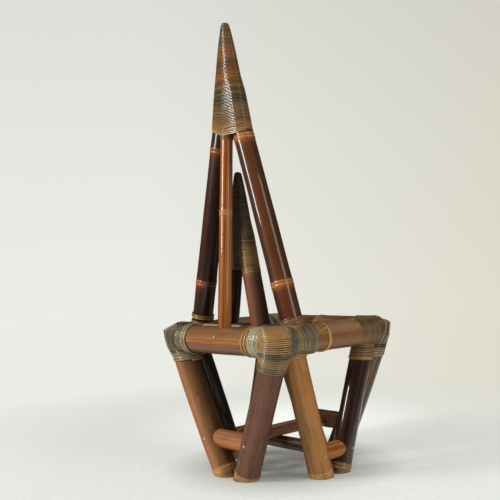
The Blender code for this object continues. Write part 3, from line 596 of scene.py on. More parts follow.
class Nodes:
    """Adds linked nodes to a material or a world; a socket is linked and a plain value is set."""

    def __init__(self, owner, shader="Principled BSDF", output="Material Output"):
        owner.use_nodes = True
        self.owner, self.tree = owner, owner.node_tree
        self.shader, self.output = self.tree.nodes[shader], self.tree.nodes[output]

    def put(self, socket, value):
        if isinstance(value, bpy.types.NodeSocket):
            self.tree.links.new(value, socket)
        else:
            socket.default_value = value

    def set(self, name, value):
        self.put(self.shader.inputs[name], value)

    def add(self, kind, values=None, **settings):
        node = self.tree.nodes.new("ShaderNode" + kind)
        for key, value in settings.items():
            setattr(node, key, value)
        for key, value in (values or {}).items():
            self.put(node.inputs[key], value)
        return node

    def place(self):
        return self.add("TexCoord").outputs["Object"]

    def mark(self, name):
        return self.add("Attribute", attribute_name=name).outputs["Fac"]

    def vector(self, name):
        return self.add("Attribute", attribute_name=name).outputs["Vector"]

    def split(self, vector):
        return self.add("SeparateXYZ", {"Vector": vector}).outputs

    def noise(self, vector, stretch, detail=3.0, roughness=0.55, shift=0.0):
        moves = {"Vector": vector, "Scale": stretch, "Location": (shift, shift * 0.7, shift * 1.3)}
        moved = self.add("Mapping", moves).outputs["Vector"]
        values = {"Vector": moved, "Scale": 1.0, "Detail": detail, "Roughness": roughness}
        return self.add("TexNoise", values).outputs["Fac"]

    def ramp(self, factor, stops):
        """A colour ramp through stops of a position and a colour."""
        node = self.add("ValToRGB", {"Fac": factor})
        elements = node.color_ramp.elements
        while len(elements) < len(stops):
            elements.new(0.5)
        for element, (position, colour) in zip(elements, stops):
            element.position, element.color = position, srgb(colour)
        return node.outputs["Color"]

    def spread(self, value, low, high, to_low=0.0, to_high=1.0):
        values = {"Value": value, "From Min": low, "From Max": high, "To Min": to_low, "To Max": to_high}
        return self.add("MapRange", values).outputs["Result"]

    def maths(self, operation, *terms):
        return self.add("Math", dict(enumerate(terms)), operation=operation).outputs["Value"]

    def times(self, first, second):
        return self.maths("MULTIPLY", first, second)

    def plus(self, first, second):
        return self.maths("ADD", first, second)

    def measure(self, operation, *vectors):
        return self.add("VectorMath", dict(enumerate(vectors)), operation=operation).outputs["Value"]

    def mix(self, factor, first, second, blend_type="MIX"):
        node = self.add("Mix", {0: factor, 6: first, 7: second}, data_type="RGBA", blend_type=blend_type)
        return node.outputs[2]

    def mix_shaders(self, factor, first, second):
        node = self.add("MixShader", {0: factor, 1: first.outputs[0], 2: second.outputs[0]})
        self.put(self.output.inputs["Surface"], node.outputs["Shader"])

    def finish(self, colour, roughness, bump=None, depth=0.0004, coat=0.0, coat_roughness=0.08):
        self.set("Base Color", colour)
        self.set("Roughness", roughness)
        self.set("Coat Weight", coat)
        self.set("Coat Roughness", coat_roughness)
        if bump is not None:
            node = self.add("Bump", {"Height": bump, "Distance": depth, "Strength": 0.6})
            self.set("Normal", node.outputs["Normal"])
        return self.owner


CUT_BAMBOO = srgb(0xB8925C)
PITH = srgb(0x704E2C)
SPECK = srgb(0x1C110C)
SCUFF = srgb(0xB8987C)
RIDGE_TINT = srgb(0xE0B87C)
FOOT_STOPS = ((0.40, 0x86623A), (0.58, 0xBA9462))
FOOT_EDGE = (0.011, 0.006)


def bamboo(name, tones, ring, bands=(), foot=False, seed=0.0, line=None, specks=0.3, gloss=0.45,
           rough=(0.28, 0.44), pale=0.0, shine=0.6, shade_rings=False, waver=0.022, mottle=1.0):
    """Varnished bamboo: lengthwise bands and streaks, fine fibres, clouds, pale node rings and a raw cut, and
    painted light and shade.
    """
    n = Nodes(bpy.data.materials.new(name))
    place = n.vector("place")
    streaks = n.noise(place, (110, 110, 2.4), 4.0, 0.62, seed)
    fibres = n.noise(place, (640, 640, 11), 3.0, 0.6, seed + 3)
    clouds = n.noise(place, (26, 26, 10), 3.0, 0.55, seed + 7)
    grain = n.noise(place, (340, 340, 70), 2.0, 0.5, seed + 11)
    tone = n.plus(n.times(streaks, 0.58), n.plus(n.times(clouds, 0.26), n.times(fibres, 0.16)))
    dark, _, light = (srgb(tone_colour) for tone_colour in tones)
    colour = n.ramp(tone, list(zip((0.36, 0.49, 0.62), tones)))
    if bands:
        # bands at shares of the width that faces the photograph: the stem's own streaks, and on some stems
        # painted light and shade
        parts = n.split(place)
        angle = n.maths("ARCTAN2", parts["Y"], parts["X"])
        share = n.plus(n.spread(angle, -math.pi, math.pi), n.spread(streaks, 0.3, 0.7, -waver, waver))
        banded = n.ramp(share, [(0.5 + math.asin(2 * at - 1) / math.tau, band) for at, band in bands])
        banded = n.mix(n.spread(tone, 0.36, 0.50, 0.35 * mottle, 0.0), banded, dark)
        banded = n.mix(n.spread(tone, 0.38, 0.60, 0.0, 0.30 * mottle), banded, light)
        colour = n.mix(n.spread(clouds, 0.3, 0.7, 0.70, 0.92), colour, banded)
    if line:
        thread = n.noise(place, (52, 52, 1.0), 2.0, 0.5, seed + 17)
        colour = n.mix(n.spread(thread, 0.58, 0.64, 0.0, 0.8), colour, srgb(line))
    colour = n.mix(n.spread(grain, 0.64, 0.74, 0.0, specks), colour, SPECK)
    if pale:
        scuffs = n.noise(place, (230, 230, 46), 2.0, 0.5, seed + 23)
        colour = n.mix(n.spread(scuffs, 0.66, 0.74, 0.0, pale), colour, SCUFF)
    glow = n.times(n.mark("glow"), n.spread(clouds, 0.32, 0.60, 0.30 * shine, shine))
    ridge = n.times(n.mark("ridge"), n.spread(grain, 0.30, 0.58, 0.25, 0.65))
    if shade_rings:
        # painted shade: the node rings grow darker from the left to the right of what shows
        lit = n.spread(share, 0.34, 0.62, 1.0, 0.2)
        glow, ridge = n.times(glow, lit), n.times(ridge, lit)
    colour = n.mix(glow, colour, srgb(ring))
    colour = n.mix(ridge, colour, blend(srgb(ring), RIDGE_TINT, 0.5))
    if foot:
        edge = n.plus(n.mark("floor"), n.spread(streaks, 0.3, 0.7, -0.005, 0.005))
        colour = n.mix(n.spread(edge, *FOOT_EDGE, 0.0, 0.5), colour, n.ramp(tone, FOOT_STOPS))
    raw = n.mix(n.spread(fibres, 0.35, 0.65), PITH, CUT_BAMBOO)
    colour = n.mix(n.mark("bark"), raw, colour)
    relief = n.plus(n.times(fibres, 0.7), n.times(streaks, 0.5))
    n.set("Specular IOR Level", 0.2)
    return n.finish(colour, n.spread(clouds, 0.3, 0.7, *rough), relief, 0.0003, gloss, 0.04)


# painted shade for the gaps between strands
STRAND_GAP_SHADE = srgb(0x221A12)
STRAND_GRAIN = srgb(0x261E14)


def rattan(name, stops, bands=0.22, seed=0.0, gloss=0.4, turns=None, rough=(0.28, 0.46), shade=None,
           gap_shade=0.8):
    """Varnished rattan strands: tones that change from turn to turn, fine grain, and painted shade."""
    n = Nodes(bpy.data.materials.new(name))
    fibre = n.vector("fibre")
    broad = n.noise(fibre, (1.3, bands, 0.0), 2.0, 0.6, seed)
    single = n.noise(fibre, (4.0, 0.95, 0.0), 2.0, 0.6, seed + 5)
    grain = n.noise(fibre, (38, 9.0, 7.0), 3.0, 0.6, seed + 9)
    tone = n.plus(n.times(broad, 0.46), n.plus(n.times(single, 0.42), n.times(grain, 0.12)))
    colour = n.ramp(tone, stops)
    if turns:
        count, marks = turns
        height = n.plus(n.split(fibre)["Y"], n.spread(single, 0.3, 0.7, -1.6, 1.6))
        banded = n.ramp(n.spread(height, 0.0, count), marks)
        colour = n.mix(n.spread(grain, 0.3, 0.7, 0.65, 0.90), colour, banded)
    if shade:
        # painted shade: another, darker tone across one side of the width that faces the photograph
        middle, start, full, other = shade
        right = n.measure("DOT_PRODUCT", n.place(), PHOTO_RIGHT)
        middle = float(PHOTO_RIGHT @ np.array(middle))
        colour = n.mix(n.spread(right, middle + start, middle + full), colour, srgb(other))
    # painted shade: the strands darken towards their edges, in the gaps between them
    edge = n.maths("ABSOLUTE", n.split(fibre)["Z"])
    colour = n.mix(n.spread(edge, 0.42 - 0.22 * gap_shade, 0.50, 0.0, gap_shade), colour, STRAND_GAP_SHADE)
    colour = n.mix(n.spread(grain, 0.58, 0.72, 0.0, 0.40), colour, STRAND_GRAIN)
    return n.finish(colour, n.spread(grain, 0.3, 0.7, *rough), grain, 0.0004, gloss, 0.10)


def grained(name, stretch, seed, stops, rough, depth, detail=3.0, metal=0.0, blotch=None):
    """One grain in the colour, the gloss and the relief, under darker blotches where a tone is given."""
    n = Nodes(bpy.data.materials.new(name))
    place = n.place()
    grain = n.noise(place, stretch, detail, 0.6, seed)
    colour = n.ramp(grain, stops)
    if blotch:
        spots = n.noise(place, (200, 200, 200), 2.0, 0.5, 4.0)
        colour = n.mix(n.spread(spots, 0.55, 0.70, 0.0, 0.4), colour, srgb(blotch))
    n.set("Metallic", metal)
    return n.finish(colour, n.spread(grain, 0.3, 0.7, *rough), grain, depth)


# Looks of the stems; bands go from left to right or from the lower edge to the upper one, some of them
# painted light and shade
WORN = {"foot": True, "gloss": 0.04, "rough": (0.46, 0.62), "mottle": 2.0, "waver": 0.05}
BACK_RAIL = bamboo("back_rail_bamboo", (0x5C3A24, 0x845634, 0x9E6C42), 0xC88C46, (
    (0.02, 0x54362C), (0.22, 0x744C3E), (0.38, 0x7C5242), (0.43, 0x784A30), (0.455, 0xC67828),
    (0.48, 0x965824), (0.505, 0xC47C30), (0.54, 0x965A28), (0.58, 0x86562E), (0.615, 0xB0824E),
    (0.645, 0x7A512B), (0.75, 0x7E562E), (0.85, 0x744E28), (0.98, 0x624222)), seed=1.0, gloss=0.2,
    rough=(0.36, 0.52), waver=0.006)
# the right rail grows lighter towards its upper edge as a painted highlight
RIGHT_RAIL = bamboo("right_rail_bamboo", (0x603A24, 0x865838, 0x9C704C), 0xCE964C, (
    (0.02, 0x5C361F), (0.30, 0x82522C), (0.55, 0x845630), (0.75, 0xAE865E), (0.98, 0x9C7856)), seed=2.0,
    gloss=0.3, rough=(0.36, 0.52))
FAR_RAIL = bamboo("far_rail_bamboo", (0x583822, 0x7E5434, 0x966C46), 0xD6A652, seed=3.0, gloss=0.35)
# the cross rail's pale band near its upper edge is a painted highlight
CROSS_RAIL = bamboo("cross_rail_bamboo", (0x2C1B13, 0x4A2F1F, 0x684830), 0x966032, (
    (0.02, 0x342218), (0.66, 0x422C1F), (0.74, 0xB0A692), (0.86, 0xBEB4A0), (0.93, 0x463224),
    (0.98, 0x3C2C20)), seed=3.5, waver=0.008)
# the light leg darkens to the right as painted shade
FIRST_LEG = bamboo("light_leg_bamboo", (0x462D1B, 0x684528, 0x8E623C), 0xC4985C, (
    (0.02, 0xAE6A3E), (0.20, 0xB67A4C), (0.40, 0x744A24), (0.55, 0x603E20), (0.75, 0x462E1A),
    (0.98, 0x2E1F13)), seed=4.0, pale=0.35, specks=0.5, **WORN)
MAUVE_LEG = bamboo("mauve_leg_bamboo", (0x482C23, 0x684435, 0x7E5A48), 0xBE8E58, (
    (0.02, 0x543226), (0.35, 0x704A3A), (0.65, 0x643F31), (0.98, 0x482A22)), seed=5.0, pale=0.4, **WORN)
# the tan leg's dark left edge is a painted shadow
TAN_LEG = bamboo("tan_leg_bamboo", (0x624024, 0x90643C, 0xA67A4E), 0xCCA05C, (
    (0.02, 0x5E4026), (0.22, 0x9C6A38), (0.50, 0xB07A3E), (0.72, 0xBA7A34), (0.86, 0xBE762E),
    (0.98, 0x925A24)), seed=6.0, pale=0.45, **WORN)
DARK_LEG = bamboo("dark_leg_bamboo", (0x140C08, 0x24150E, 0x3A2417), 0xAA7846, foot=True, seed=7.0, gloss=0.5)
MAROON_LEG = bamboo("maroon_leg_bamboo", (0x1C0F0B, 0x301A12, 0x4C2C1F), 0xAA7846, foot=True, seed=7.5,
                    gloss=0.9)
LINED_LEG = bamboo("lined_leg_bamboo", (0x221410, 0x3A241C, 0x523628), 0xAA7846, (
    (0.02, 0x2A1914), (0.61, 0x3A2218), (0.64, 0xBE6A26), (0.665, 0xC67A34), (0.69, 0x3E261B),
    (0.715, 0x40261A), (0.745, 0xCC8842), (0.775, 0x422A1E), (0.98, 0x3A261D)), foot=True, seed=8.0,
    gloss=0.6, waver=0.006)
BLACK_POLE = bamboo("black_brown_bamboo", (0x180E0C, 0x281713, 0x3E231A), 0xCE6828, (
    (0.02, 0x522A19), (0.18, 0x462618), (0.45, 0x321E15), (0.75, 0x281912), (0.98, 0x382114)), seed=9.0,
    shine=0.5, shade_rings=True, gloss=0.6)
RED_POLE = bamboo("red_brown_bamboo", (0x2C170D, 0x542911, 0x6C3819), 0xD68034, (
    (0.02, 0x2C1912), (0.18, 0x381F15), (0.34, 0x5E3011), (0.58, 0x663513), (0.74, 0x58321D),
    (0.98, 0x362118)), seed=10.0, gloss=0.7)
CENTRE_POLE = bamboo("centre_pole_bamboo", (0x50280E, 0x7C4014, 0x985824), 0xD09C5C, (
    (0.02, 0x803C18), (0.18, 0xBE7032), (0.34, 0xAA5C20), (0.46, 0x703613), (0.56, 0xB46828),
    (0.72, 0xBA6C2A), (0.86, 0x8A461A), (0.98, 0x583016)), seed=11.0, line=0xBA7C44, shine=0.25, waver=0.012,
    gloss=0.8)
SHORT_POLE = bamboo("short_pole_bamboo", (0x3E2418, 0x643E2C, 0x7C543E), 0xCE9654, (
    (0.02, 0xA05626), (0.14, 0x8E502A), (0.32, 0x764E3C), (0.60, 0x5C3624), (0.80, 0x3C2A1C),
    (0.98, 0x30281B)), seed=12.0, shine=0.4, shade_rings=True, gloss=0.2, rough=(0.38, 0.52))
BACK_BAR = bamboo("back_stretcher_bamboo", (0x6C3E22, 0xA46230, 0xBE7E48), 0xCC9656, (
    (0.02, 0x8E5A3E), (0.30, 0x9E6A50), (0.52, 0xA86234), (0.78, 0xB26628), (0.98, 0x8C4E20)), seed=13.0)
SIDE_BAR = bamboo("side_stretcher_bamboo", (0x6C3C1C, 0xA8622E, 0xC27E46), 0xCC9656, seed=14.0)
FRONT_BAR = bamboo("front_stretcher_bamboo", (0x362416, 0x66462A, 0x966E44), 0xBE925A, seed=14.5, specks=0.5)
UPPER_BAR = bamboo("upper_bar_bamboo", (0x462A1A, 0x7C5032, 0xA4744A), 0xB0804C, seed=15.0, gloss=0.35,
                   specks=0.5)
LOWER_BAR = bamboo("lower_bar_bamboo", (0x140E0B, 0x261A13, 0x785C40), 0xB0804C, seed=15.5, gloss=0.35,
                   specks=0.6)
DECK = bamboo("deck_bamboo", (0x968268, 0xB8A68A, 0xCEC0A6), 0xCEB082, seed=16.0, gloss=0.2,
              rough=(0.4, 0.55))

# Tones of the strands, and the bands of tones along the spires' windings
GREY_STOPS = (
    (0.39, 0x28241C), (0.44, 0x5E5642), (0.50, 0x7E7358), (0.55, 0x9E885C), (0.60, 0xA47C44),
    (0.66, 0x6E6856))
BROWN_STOPS = ((0.36, 0x3C2C1C), (0.45, 0x705230), (0.53, 0x926836), (0.60, 0x7C7054), (0.66, 0x605E52))
PALE_GREY_STOPS = ((0.38, 0x66614C), (0.45, 0xA09879), (0.53, 0xC0B895), (0.62, 0xCEBE8E))
WARM_GREY_STOPS = (
    (0.38, 0x343026), (0.44, 0x605C4C), (0.50, 0x847658), (0.55, 0xA68A58), (0.60, 0xAE8246),
    (0.66, 0x6C6858))
TAN_STOPS = ((0.36, 0x5C4E36), (0.46, 0x8E7A54), (0.54, 0xAC986E), (0.64, 0xC4B28A))
OLIVE_GOLD_STOPS = ((0.36, 0x4E3818), (0.46, 0x7E5C26), (0.54, 0xA47C38), (0.62, 0xCEAA62))
GOLD_STOPS = ((0.34, 0xAA6C2A), (0.48, 0xD89C46), (0.60, 0xEABA62), (0.70, 0xF2D28A))
TALL_BANDS = (
    (0.00, 0x68522E), (0.08, 0x6E542A), (0.14, 0x745228), (0.185, 0x5A4A2C), (0.225, 0x8C541A),
    (0.29, 0x864C14), (0.34, 0x7A501E), (0.385, 0x503C1E), (0.43, 0x804210), (0.50, 0x864812),
    (0.545, 0x9C5418), (0.57, 0x3C301C), (0.60, 0x925418), (0.635, 0x3E3622), (0.675, 0x725826),
    (0.70, 0x382F20), (0.76, 0x5E4C30), (0.80, 0x866232), (0.85, 0x785E32), (0.90, 0x7E5C2E),
    (0.95, 0xB4803E), (0.99, 0xBE9256))
# the short spire's lighter tan turns low down are partly the strands' own tone and partly a painted highlight
SHORT_BANDS = (
    (0.00, 0x42301B), (0.35, 0x402D19), (0.58, 0x422E1A), (0.70, 0x4E3920), (0.74, 0x805E32),
    (0.90, 0x98703E), (0.97, 0x845E2E))

TALL_TURNS = wound_turns(TALL_APEX[2] - TALL_WRAP_FOOT)
SHORT_TURNS = wound_turns(SHORT_APEX[2] - SHORT_WRAP_FOOT)
TALL_RATTAN = rattan("tall_spire_rattan", GREY_STOPS, 0.15, 1.0, 0.62, (TALL_TURNS, TALL_BANDS), (0.18, 0.30),
                     gap_shade=0.55)
# the short spire's left side is painted in shade
SHORT_RATTAN = rattan("short_spire_rattan", GREY_STOPS, 0.15, 2.0, 0.3, (SHORT_TURNS, SHORT_BANDS),
                      shade=(SHORT_APEX, 0.013, -0.012, 0x46301B), gap_shade=0.55)
GREY = rattan("olive_rattan", GREY_STOPS, seed=3.0)
BROWN = rattan("brown_rattan", BROWN_STOPS, seed=4.0)
PALE_GREY = rattan("pale_rattan", PALE_GREY_STOPS, seed=8.0, gloss=1.0, rough=(0.18, 0.30))
WARM_GREY = rattan("warm_rattan", WARM_GREY_STOPS, seed=9.0)
TAN = rattan("tan_rattan", TAN_STOPS, seed=5.0)
OLIVE_GOLD = rattan("olive_gold_rattan", OLIVE_GOLD_STOPS, seed=7.0, gloss=0.5)
GOLD = rattan("gold_rattan", GOLD_STOPS, seed=6.0, gloss=0.5)

# Pale pegs of end grain, dull iron nails with a little rust, and dark fibre packed under the strands
PEG_STOPS = ((0.35, 0x96764C), (0.55, 0xC2A474), (0.70, 0xD8C096))
NAIL_STOPS = ((0.35, 0x464442), (0.55, 0x605C58), (0.72, 0x704A30))
PACKING_STOPS = ((0.35, 0x221A12), (0.55, 0x382B1D), (0.70, 0x4E3C28))
PEG = grained("peg_wood", (900, 900, 300), 1.0, PEG_STOPS, (0.45, 0.65), 0.0003, blotch=0x785836)
NAIL = grained("nail_iron", (400, 400, 400), 2.0, NAIL_STOPS, (0.35, 0.7), 0.0002, detail=4.0, metal=0.8)
PACKING = grained("packing_fibre", (420, 420, 90), 3.0, PACKING_STOPS, (0.6, 0.8), 0.0004)


# Seat frame

RAIL_END = HALF - 0.002
CROSS_RAIL_REACH = 0.200
FRONT_RAIL_NODE = RAIL_END + 0.016
CROSS_RAIL_NODE = 0.120


def level_stem(middle, reach, radius, seed, nodes=()):
    """A stem that reaches equally far to both sides of its middle."""
    return Culm(np.subtract(middle, reach), np.add(middle, reach), radius, nodes=nodes, seed=seed)


rails = {
    "back": level_stem((0, HALF, RAIL_HEIGHT), (RAIL_END, 0, 0), RAIL_RADIUS, 11),
    "front": level_stem((0, -HALF, RAIL_HEIGHT), (RAIL_END, 0, 0), RAIL_RADIUS, 12, (FRONT_RAIL_NODE,)),
    "left": level_stem((HALF, 0, SIDE_RAIL_HEIGHT), (0, RAIL_END, 0), RAIL_RADIUS, 13),
    "right": level_stem((-HALF, 0, SIDE_RAIL_HEIGHT), (0, RAIL_END, 0), RAIL_RADIUS, 14),
}
cross_rail = level_stem((0, CROSS_RAIL_Y, CROSS_RAIL_HEIGHT), (CROSS_RAIL_REACH, 0, 0), CROSS_RAIL_RADIUS, 15,
                        (CROSS_RAIL_NODE,))
add_culm("back_seat_rail", rails["back"], BACK_RAIL)
add_culm("front_seat_rail", rails["front"], FAR_RAIL)
add_culm("left_seat_rail", rails["left"], FAR_RAIL)
add_culm("right_seat_rail", rails["right"], RIGHT_RAIL)
add_culm("spire_cross_rail", cross_rail, CROSS_RAIL)

# Legs

LEG_SINK = 0.012
FOOT_NODE = LEG_SINK + 0.020
LEG_SADDLE = 0.002
# look and slot of each leg, its own bow to the right of the photograph, and its girth
LEGS = {
    "back_leg_left": (FIRST_LEG, "light_tan_bamboo", -0.0035, 1.0),
    "back_leg_right": (MAUVE_LEG, "mauve_brown_bamboo", None, 1.0),
    "front_leg_left": (TAN_LEG, "light_tan_bamboo", None, 1.0),
    "front_leg_right": (LINED_LEG, "mauve_brown_bamboo", 0.0030, 1.0),
    "left_leg_back": (DARK_LEG, "dark_brown_bamboo", None, 1.0),
    "left_leg_front": (DARK_LEG, "dark_brown_bamboo", 0.0065, 1.0),
    "right_leg_back": (TAN_LEG, "light_tan_bamboo", None, 1.0),
    "right_leg_front": (MAROON_LEG, "dark_brown_bamboo", -0.0025, 0.92),
}
legs = {}


def leg_ends(spread, top, rail_height):
    """Foot and head of a leg: how far along its rail, how far out and how high."""
    for height in (-LEG_SINK, rail_height):
        share = height / rail_height
        yield spread + (top - spread) * share, HALF - FOOT_TUCK * (1 - share), height


def add_leg(name, ends, radius, seed, end_cut=None):
    """One leg, cut level and open at the floor."""
    material, slot, bow, girth = LEGS[name]
    legs[name] = Culm(*ends, radius * girth, nodes=(FOOT_NODE,), seed=seed, bow=bow)
    add_culm(name, legs[name], material, level_cut(0.0), end_cut, open_foot=True)


seed = 30
for y_name, y_way in BACK_FRONT:
    for x_name, x_way in LEFT_RIGHT:
        seed += 2
        ends = leg_ends(BACK_FOOT_SPREAD, BACK_LEG_TOP, RAIL_HEIGHT)
        ends = [(x_way * along, y_way * out, height) for along, out, height in ends]
        add_leg(f"{y_name}_leg_{x_name}", ends, BACK_LEG_RADIUS, seed)
        ends = leg_ends(SIDE_FOOT_SPREAD, SIDE_LEG_TOP, SIDE_RAIL_HEIGHT)
        ends = [(x_way * out, y_way * along, height) for along, out, height in ends]
        saddle = saddle_cut(rails[x_name], False, LEG_SADDLE)
        add_leg(f"{x_name}_leg_{y_name}", ends, SIDE_LEG_RADIUS, seed + 1, saddle)

# Stretchers and crossed bars

BAR_SINK = 0.0045
# of each stretcher: its two legs, its height and radius, and its look
STRETCHERS = {
    "back": ("back_leg_left", "back_leg_right", UPPER_BAR_HEIGHT, BACK_STRETCHER_RADIUS, BACK_BAR),
    "front": ("front_leg_left", "front_leg_right", UPPER_BAR_HEIGHT, BACK_STRETCHER_RADIUS, FRONT_BAR),
    "left": ("left_leg_front", "left_leg_back", LOWER_BAR_HEIGHT, SIDE_STRETCHER_RADIUS, SIDE_BAR),
    "right": ("right_leg_front", "right_leg_back", LOWER_BAR_HEIGHT, SIDE_STRETCHER_RADIUS, SIDE_BAR),
}
# of each cross bar: its two stretchers and its look
CROSS_BARS = {"upper": ("front", "back", UPPER_BAR), "lower": ("right", "left", LOWER_BAR)}


def add_bar(name, first, last, ends, radius, material, seed):
    """A bar coped at both ends to the two stems that carry it."""
    bar = Culm(*ends, radius, seed=seed)
    add_culm(name, bar, material,
             saddle_cut(first, True, BAR_SINK), saddle_cut(last, False, BAR_SINK))
    return bar


stretchers = {}
for seed, (name, (first, last, height, radius, material)) in enumerate(STRETCHERS.items(), 51):
    first, last = legs[first], legs[last]
    ends = first.point_at(height), last.point_at(height)
    stretchers[name] = add_bar(f"{name}_stretcher", first, last, ends, radius, material, seed)
for seed, (name, (first, last, material)) in enumerate(CROSS_BARS.items(), 55):
    first, last = stretchers[first], stretchers[last]
    ends = (first.start + first.end) / 2, (last.start + last.end) / 2
    add_bar(f"{name}_cross_bar", first, last, ends, CROSS_BAR_RADIUS, material, seed)

# Spires

POLE_SINK = 0.020
CENTRE_SINK = 0.008
POLE_TUCK = 0.030
MAIN_GIRTH = (MAIN_POLE_RADIUS, MAIN_POLE_NECK)
CENTRE_GIRTH = (CENTRE_POLE_RADIUS, CENTRE_POLE_NECK)
SHORT_GIRTH = (SHORT_POLE_RADIUS, SHORT_POLE_NECK)
TALL_LEAN = (MAIN_POLE_FOOT, MAIN_POLE_CROSSING, TALL_APEX, MAIN_GIRTH, TALL_WRAP_FOOT)
SHORT_LEAN = (SHORT_POLE_FOOT, SHORT_POLE_CROSSING, SHORT_APEX, SHORT_GIRTH, SHORT_WRAP_FOOT)
TALL_BULGE = 0.0145
TALL_DIP_FROM = 0.176
TALL_SLANT = 0.16
SHORT_BULGE = 0.010
SPIRE_COLLAR = (1.001, 1.030)
COLLAR_THICKNESS = 0.0024


def pole(foot, aim, radii, wrap_foot, rings, seed, sink=POLE_SINK):
    """A pole from inside the rail that carries it to inside the winding at its top."""
    foot, aim = np.array(foot, float), np.array(aim, float)
    axis = unit(aim - foot)
    start = foot - axis * sink
    end = foot + (aim - foot) * (wrap_foot + POLE_TUCK - foot[2]) / (aim[2] - foot[2])
    nodes = tuple((ring - start[2]) / axis[2] for ring in rings)
    return Culm(start, end, *radii, nodes=nodes, seed=seed)


def leaning_pole(way, rings, seed, foot, crossing, apex, radii, wrap_foot):
    """A pole from the cross rail that leans past the middle under an apex."""
    foot, aim = (way * foot, CROSS_RAIL_Y, POLE_START), (-way * crossing, *apex[1:])
    return pole(foot, aim, radii, wrap_foot, rings, seed)


# each pole with the heights of its nodes
left_main = leaning_pole(1, (0.578, 0.980), 61, *TALL_LEAN)
right_main = leaning_pole(-1, (0.566, 1.002), 62, *TALL_LEAN)
centre = pole((0.0, HALF, RAIL_TOP), (0.0, CENTRE_POLE_AIM, TALL_APEX[2]), CENTRE_GIRTH, TALL_WRAP_FOOT,
              (0.7825,), 63, CENTRE_SINK)
left_short = leaning_pole(1, (), 64, *SHORT_LEAN)
right_short = leaning_pole(-1, (0.606,), 65, *SHORT_LEAN)
add_culm("left_main_pole", left_main, BLACK_POLE)
add_culm("right_main_pole", right_main, RED_POLE)
add_culm("centre_pole", centre, CENTRE_POLE)
add_culm("left_short_pole", left_short, BLACK_POLE)
add_culm("right_short_pole", right_short, SHORT_POLE)

tall_spire = Spire(TALL_APEX, (left_main, right_main, centre), TALL_WRAP_FOOT, TALL_BULGE, TALL_WRAP_DIP,
                   TALL_DIP_FROM, TALL_SLANT)
short_spire = Spire(SHORT_APEX, (left_short, right_short), SHORT_WRAP_FOOT, SHORT_BULGE)
spires = (("tall", tall_spire, TALL_RATTAN, 71), ("short", short_spire, SHORT_RATTAN, 72))
for name, form, material, seed in spires:
    points, faces = form.core()
    add_piece(f"{name}_spire_packing", points, faces, PACKING, [f"{name}_spire_core"])
    add_strands(f"{name}_spire_strands", [form.winding(seed)], material,
                [f"{name}_spire_winding"])
low, high = (centre.at_height(height) for height in SPIRE_COLLAR)
collar = coil(centre, low, high, 73, SPIRE_PITCH, width=SPIRE_PITCH, thickness=COLLAR_THICKNESS)
add_strands("tall_spire_collar", [collar], BROWN)

# Corners

# of each corner: lowest turn of the head, its tip, top, reach, the drop of its front, the lean of its lowest
# turns, its girth and soft edge, and the lowest turn of the collar on the side leg
CORNERS = {
    "back_left": ((0.336, 0.431, 0.4505, 0.0410, 0.2, 0.25, 1.0, 0.002), 0.352),
    "back_right": ((0.332, 0.424, 0.4515, 0.0490, 0.0, 0.8, 1.05, 0.012), 0.361),
    "front_left": ((0.330, 0.431, 0.4470, 0.0350, 0.2, 0.4, 1.0, 0.002), 0.330),
    "front_right": ((0.330, 0.429, 0.4370, 0.0280, 0.2, 0.4, 1.0, 0.002), 0.323),
}
# tones from the lowest turn of a head to its top
BALL_TONES = (
    (0.00, 0x746A50), (0.08, 0x7E6E4E), (0.12, 0xB68C52), (0.22, 0xAE844C), (0.26, 0x6A6650),
    (0.33, 0x66624E), (0.38, 0xB8884C), (0.66, 0xC4904E), (0.86, 0xB2864C), (1.00, 0x907850))
# on the ribbed heads the pale lowest turns are the strands' own tone, and the dark turns under the ribs are
# painted shade
FOOT_TONES = ((0.00, 0xB29A6E), (0.55, 0xA68E62), (0.70, 0x463C2C), (1.00, 0x383228))
BALL_SHADE = (0.036, 0.043, 0x606152)
SIDE_TONES = {"back_right": WARM_GREY, "front_right": BROWN}
# the rails' windings: where they start from the middle, at the back and the front of a side rail, how far
# they stand out and lean there, and how near they come to the end
BACK_WRAP_FROM = HALF - 0.078
SIDE_WRAP_FROM = {1: HALF - 0.1315, -1: HALF - 0.1195}
SIDE_WRAP_EXTRA = {1: 0.0, -1: -0.0015}
SIDE_WRAP_TILT = 0.004
WRAP_END = 0.001
# the head's turns end above the foot of the ribs
FOOT_TURNS_TOP = 0.374
RIBS_FROM = 0.370
HEAD_STRANDS = {**WRAP, "width": 0.0051}
COLLAR_HIGH = 0.400
COLLAR_LEVEL = 0.8
COLLAR_START = 0.006
COLLAR_RING = {"pitch": 0.0036, "width": 0.0038, "extra": 0.0006}
COLLAR_RING_LENGTH = 0.009


def rail_end(rail, way, start, seed, **looks):
    """Turns round one end of a rail, from a distance from its middle."""
    middle = rail.length / 2
    return coil(rail, middle + way * start, middle + way * (middle - WRAP_END), seed, **looks, **WRAP)


